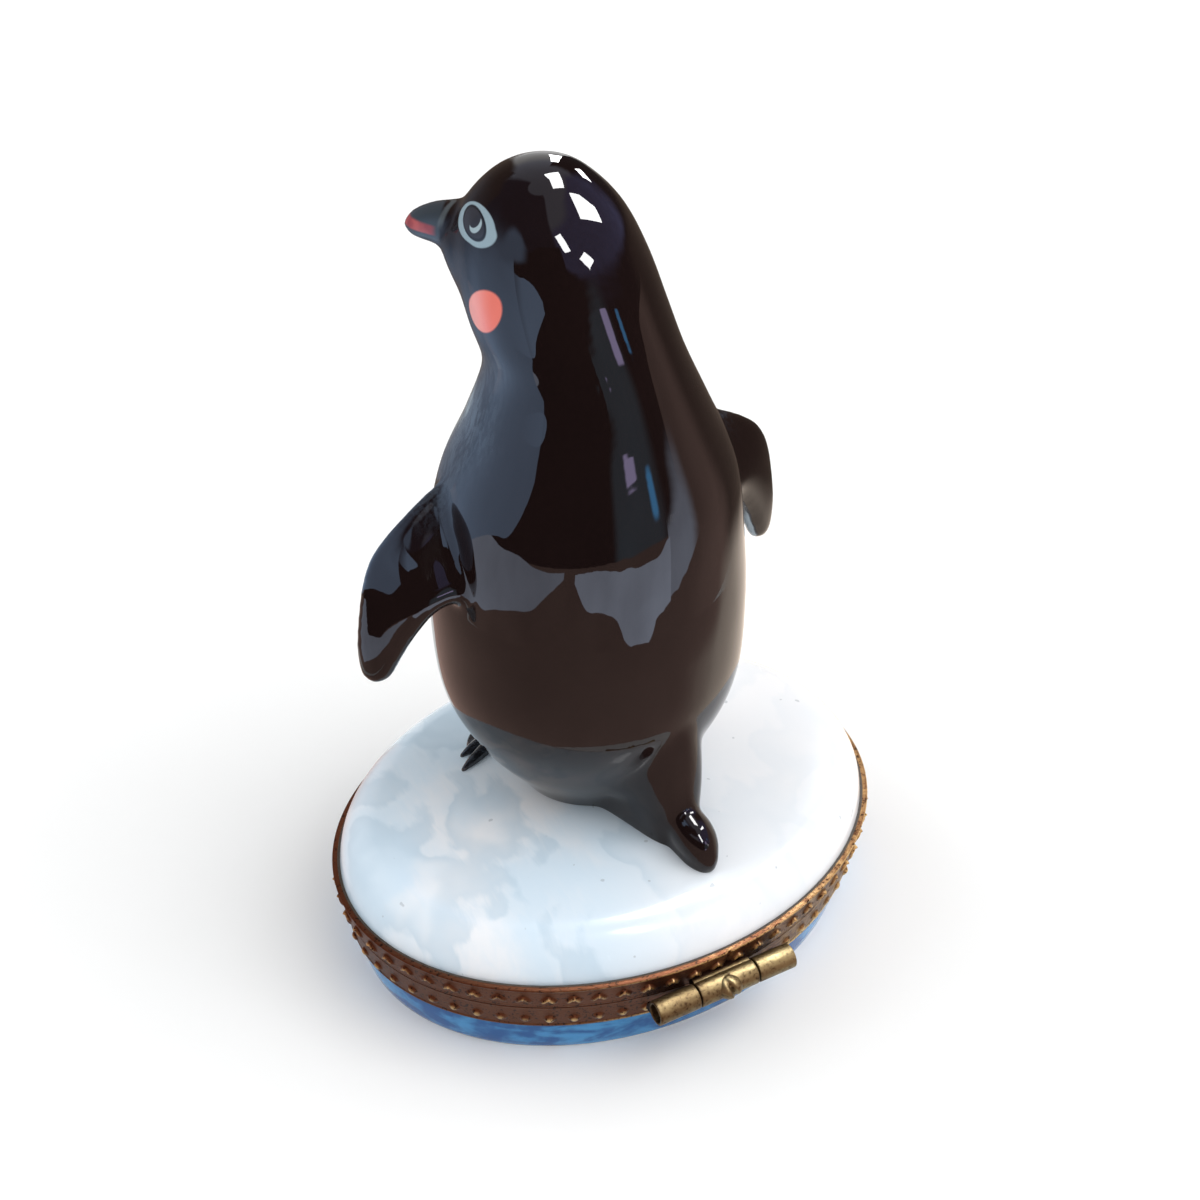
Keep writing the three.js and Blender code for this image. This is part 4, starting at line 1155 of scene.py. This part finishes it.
def softbox(name, turn, raised, distance, size, brightness, target, roll=0.0, is_pane=False):
    """A lamp that lights the object, or a pane that only shows as a reflection; lengths in millimetres."""
    lamp = bpy.data.lights.new(name, "AREA")
    lamp.shape = "RECTANGLE"
    lamp.size, lamp.size_y = size[0] * MM, size[1] * MM
    lamp.energy = brightness * math.pi * lamp.size * lamp.size_y
    stand = bpy.data.objects.new(name, lamp)
    away = from_camera(turn, raised)
    stand.location = (target + away * distance) * MM
    turned_to = (-away).to_track_quat("-Z", "Y") @ Quaternion((0, 0, 1), math.radians(roll))
    stand.rotation_euler = turned_to.to_euler()
    stand.visible_camera = False
    stand.visible_diffuse, stand.visible_glossy = not is_pane, is_pane
    bpy.context.scene.collection.objects.link(stand)


MIDDLE = Vector((0, 0, 45))
softbox("left_box", -100, 30, 700, (900, 500), 1.3, MIDDLE)
softbox("right_box", 95, 35, 700, (900, 500), 1.5, MIDDLE)
softbox("top_box", 60, 62, 900, (800, 600), 2.0, MIDDLE)
PANES = [(174, 19, 16, 58, 10), (131, 66, 96, 42, -14), (144, 21, 36, 22, 4), (96, 38, 24, 66, 40),
         (36, 37, 19, 58, 7), (55, 12, 25, 32, 32)]
PANE_DISTANCE, PANE_BRIGHTNESS = 150, 36.0
for number, (turn, raised, width, height, roll) in enumerate(PANES):
    softbox(f"pane_{number}", turn, raised, PANE_DISTANCE, (width, height), PANE_BRIGHTNESS, HEAD_MIDDLE, roll,
            is_pane=True)

# %% [markdown]
# Round a shiny object a photographer stands cards. Dark ones make the glaze look deep. Brown ones low down stand
# for a wooden table, so that the black glaze shows wood and the snow of the lid, not a white floor. Grey-blue ones
# draw the crisp slate shapes on back, side and face, and narrow ones the thin streaks. A cut edge shows as a crisp
# shape, so some edges fade out. The cards only show as reflections.

# %% A card
def card(name, radius, stations, brightness, tone, fades=(0, 0, 0, 0)):
    """A sheet round the box, by stations of (turn, bottom, top). It fades at its left, right, bottom and top."""
    columns, rows = 49, 13
    run = spline(stations, columns)
    across, upward = np.meshgrid(np.linspace(0, 1, columns), np.linspace(0, 1, rows))
    points = [from_camera(turn, 0) * radius + Vector((0, 0, bottom + (top - bottom) * share))
              for share in np.linspace(0, 1, rows) for turn, bottom, top in run]
    faces = [(columns * i + j, columns * i + j + 1, columns * (i + 1) + j + 1, columns * (i + 1) + j)
             for i in range(rows - 1) for j in range(columns - 1)]
    fade = np.ones_like(across)
    for share, margin in zip((across, 1 - across, upward, 1 - upward), fades):
        if margin:
            fade = fade * np.clip(share / margin, 0, 1)
    finish = new_finish(name)
    cloud = finish.noise(finish.place(), 0.04, 3.0)
    shades = [tuple(channel * share for channel in tone) for share in (0.7, 1.3)]
    shown = finish.node("ShaderNodeAttribute", {"attribute_name": "fade"}, output="Fac")
    finish.shader(Base_Color=(0, 0, 0, 1), Specular_IOR_Level=0.0, Emission_Color=finish.blend(cloud, *shades),
                  Emission_Strength=brightness, Alpha=finish.step(shown + 0.3 * (cloud - 0.5), 0.05, 0.85))
    sheet = new_piece(name, points, faces, finish)
    layer = sheet.data.attributes.new("fade", "FLOAT", "POINT")
    layer.data.foreach_set("value", fade.ravel().astype(np.float32))
    sheet.visible_camera = sheet.visible_diffuse = sheet.visible_shadow = sheet.visible_transmission = False
    print(name, "stands", radius, "mm from the middle")


DARK = (1, 1, 1)
card("dark_card", 340, [(-150, 1, 430), (12, 1, 430), (175, 1, 430)], 0.03, DARK, (0, 0, 0, 0.3))

# %% Cards that stand for the dark room and the table
WOOD, PALE_WOOD, BROWN, NAVY = (1.0, 0.68, 0.58), (1.0, 0.85, 0.72), (1.0, 0.75, 0.6), (0.5, 0.6, 1.0)
card("dark_apron", 80, [(-125, 34, 105), (0, 33, 105), (40, 31, 84), (62, 30, 78)], 0.03, DARK,
     (0.05, 0.1, 0, 0.2))
card("dark_screen", 34, [(-46, 50.5, 94), (-20, 51, 94), (-8, 60, 102), (22, 62, 102)], 0.03, DARK)
card("near_table", 33, [(-125, 1.5, 28), (-80, 1.5, 30), (0, 1.5, 30), (80, 1.5, 29), (110, 1.5, 28)], 0.64, WOOD)
card("right_table", 32.5, [(55, 1.5, 29), (85, 1.5, 29), (105, 1.5, 38), (150, 1.5, 36), (200, 1.5, 34)], 1.3,
     PALE_WOOD, (0.4, 0.1, 0, 0.35))
card("far_table", 79, [(-125, 0.5, 36), (-40, 0.5, 36), (60, 0.5, 36), (84, 0.5, 64), (150, 0.5, 64)], 0.64, WOOD)
card("brow_card", 60, [(-140, 100, 320), (-60, 100, 320), (26, 96, 320)], 0.12, NAVY, (0.1, 0.05, 0, 0.2))
card("back_card", 36, [(95, 20, 80), (150, 20, 80), (195, 20, 80), (215, 20, 110), (255, 20, 112)], 0.14, BROWN,
     (0.1, 0, 0.1, 0.15))

# %% Cards that draw the slate and navy shapes
SLATE, STEEL = (0.78, 0.88, 1.1), (0.55, 0.78, 1.15)
card("left_card", 30, [(-162, 40, 104), (-110, 40, 108), (-90, 41, 110), (-78, 45, 112), (-66, 48, 112),
                       (-58, 49, 112), (-50, 50, 110), (-40, 57, 106)], 1.9, STEEL, (0.35, 0, 0, 0.75))
card("cheek_card", 23.5, [(-66, 61, 82), (-41, 61, 75.5), (-32, 64.5, 75), (-24, 67.5, 74), (-16, 70.5, 72)], 2.4,
     STEEL, (0.45, 0, 0, 0))
card("face_card", 24.5, [(-66, 78, 106), (-42, 78, 105), (-24, 80, 92)], 1.5, STEEL, (0.3, 0.4, 0.2, 0.3))
card("head_card", 200, [(0, 70, 400), (75, 70, 400), (150, 70, 400)], 0.7, (0.5, 0.55, 1.1), (0.2, 0.2, 0.1, 0.25))
card("navy_card", 79, [(18, 34, 62), (30, 32, 66), (42, 31, 78), (62, 30, 86)], 0.6, (0.5, 0.8, 1.0),
     (0.2, 0.2, 0, 0.2))
card("left_lobe", 75, [(-82, 30, 38), (-74, 21, 42), (-67, 14, 40), (-57, 17, 38), (-44, 20, 38), (-32, 22, 36),
                       (-22, 28, 35), (-12, 33, 35)], 2.35, SLATE)
card("right_lobe", 75, [(-5, 31.5, 34), (3, 22, 34), (12, 20, 33.5), (22, 16, 31.5), (28, 8, 31), (37, 5, 30),
                        (44, 7, 29.5), (50, 12, 30), (58, 13, 36)], 3.5, SLATE)
card("right_card", 76, [(57, 13, 44), (66, 15, 53), (74, 19, 57), (84, 28, 60)], 2.4, SLATE, (0, 0.4, 0, 0.3))

# %% Narrow cards
VIOLET, CYAN = (0.7, 0.6, 1.0), (0.12, 0.5, 1.0)
card("violet_strip", 73, [(48, 63, 74), (57, 64, 74)], 6.2, VIOLET, (0.25, 0.25, 0.15, 0.1))
card("cyan_strip", 73, [(64, 65, 73), (69, 65, 73)], 4.8, CYAN, (0.35, 0.35, 0.3, 0.2))
card("low_violet_strip", 73, [(31, 54, 59), (42, 54, 58)], 6.2, VIOLET, (0.25, 0.25, 0.1, 0.1))
card("low_cyan_strip", 73, [(47, 44, 55), (54, 44, 55)], 6.2, CYAN, (0.4, 0.4, 0.4, 0.15))

# %% [markdown]
# The floor is plain and pale. A curved sheet of paper could hide where it ends. Here it glows a little far from the
# box instead, for the camera and in reflections only, so that it runs into the backdrop, and near the box it keeps
# the shadow.

# %% Backdrop and floor
def seen(finish):
    """1 for what the camera sees, straight, in a reflection or through glass, and 0 for light on its way."""
    kinds = ("Is Camera Ray", "Is Glossy Ray", "Is Transmission Ray")
    straight, reflected, through = finish.node("ShaderNodeLightPath", output=kinds)
    return straight.maths("MAXIMUM", reflected.maths("MAXIMUM", through))


world = bpy.data.worlds.new("studio")
bpy.context.scene.world = world
air = Finish(world)
_, _, raised = air.split(air.node("ShaderNodeTexCoord", output="Generated"))
backdrop = air.blend(air.step(raised, 0.3, 0.55), (1, 1, 1), (0.7, 0.75, 0.9))
air.feed(air.tree.nodes["Background"].inputs["Color"], air.blend(seen(air), (0.59, 0.595, 0.6), backdrop))

pale = new_finish("pale_floor")
where = pale.place()
x, y, _ = pale.split(where)
far = pale.step((x * x + y * y) ** 0.5, 120.0, 900.0)
pale.shader(
    Base_Color=pale.blend(pale.noise(where, 0.02), (0.945, 0.945, 0.94), (0.955, 0.955, 0.95)),
    Roughness=0.9,
    Specular_IOR_Level=0.0,
    Emission_Color=pale.blend(far * seen(pale), (0, 0, 0), (0.38, 0.38, 0.38)),
    Emission_Strength=1.0,
)
FLOOR_HALF, FLOOR_DROP = 3000, 0.02
corners = [(FLOOR_HALF * i, FLOOR_HALF * j, -FLOOR_DROP) for i, j in ((-1, -1), (1, -1), (1, 1), (-1, 1))]
floor = new_piece("floor", corners, [(0, 1, 2, 3)], pale)
bpy.context.scene.view_settings.view_transform = "Standard"
print("the floor is", 2 * FLOOR_HALF * MM, "m wide")
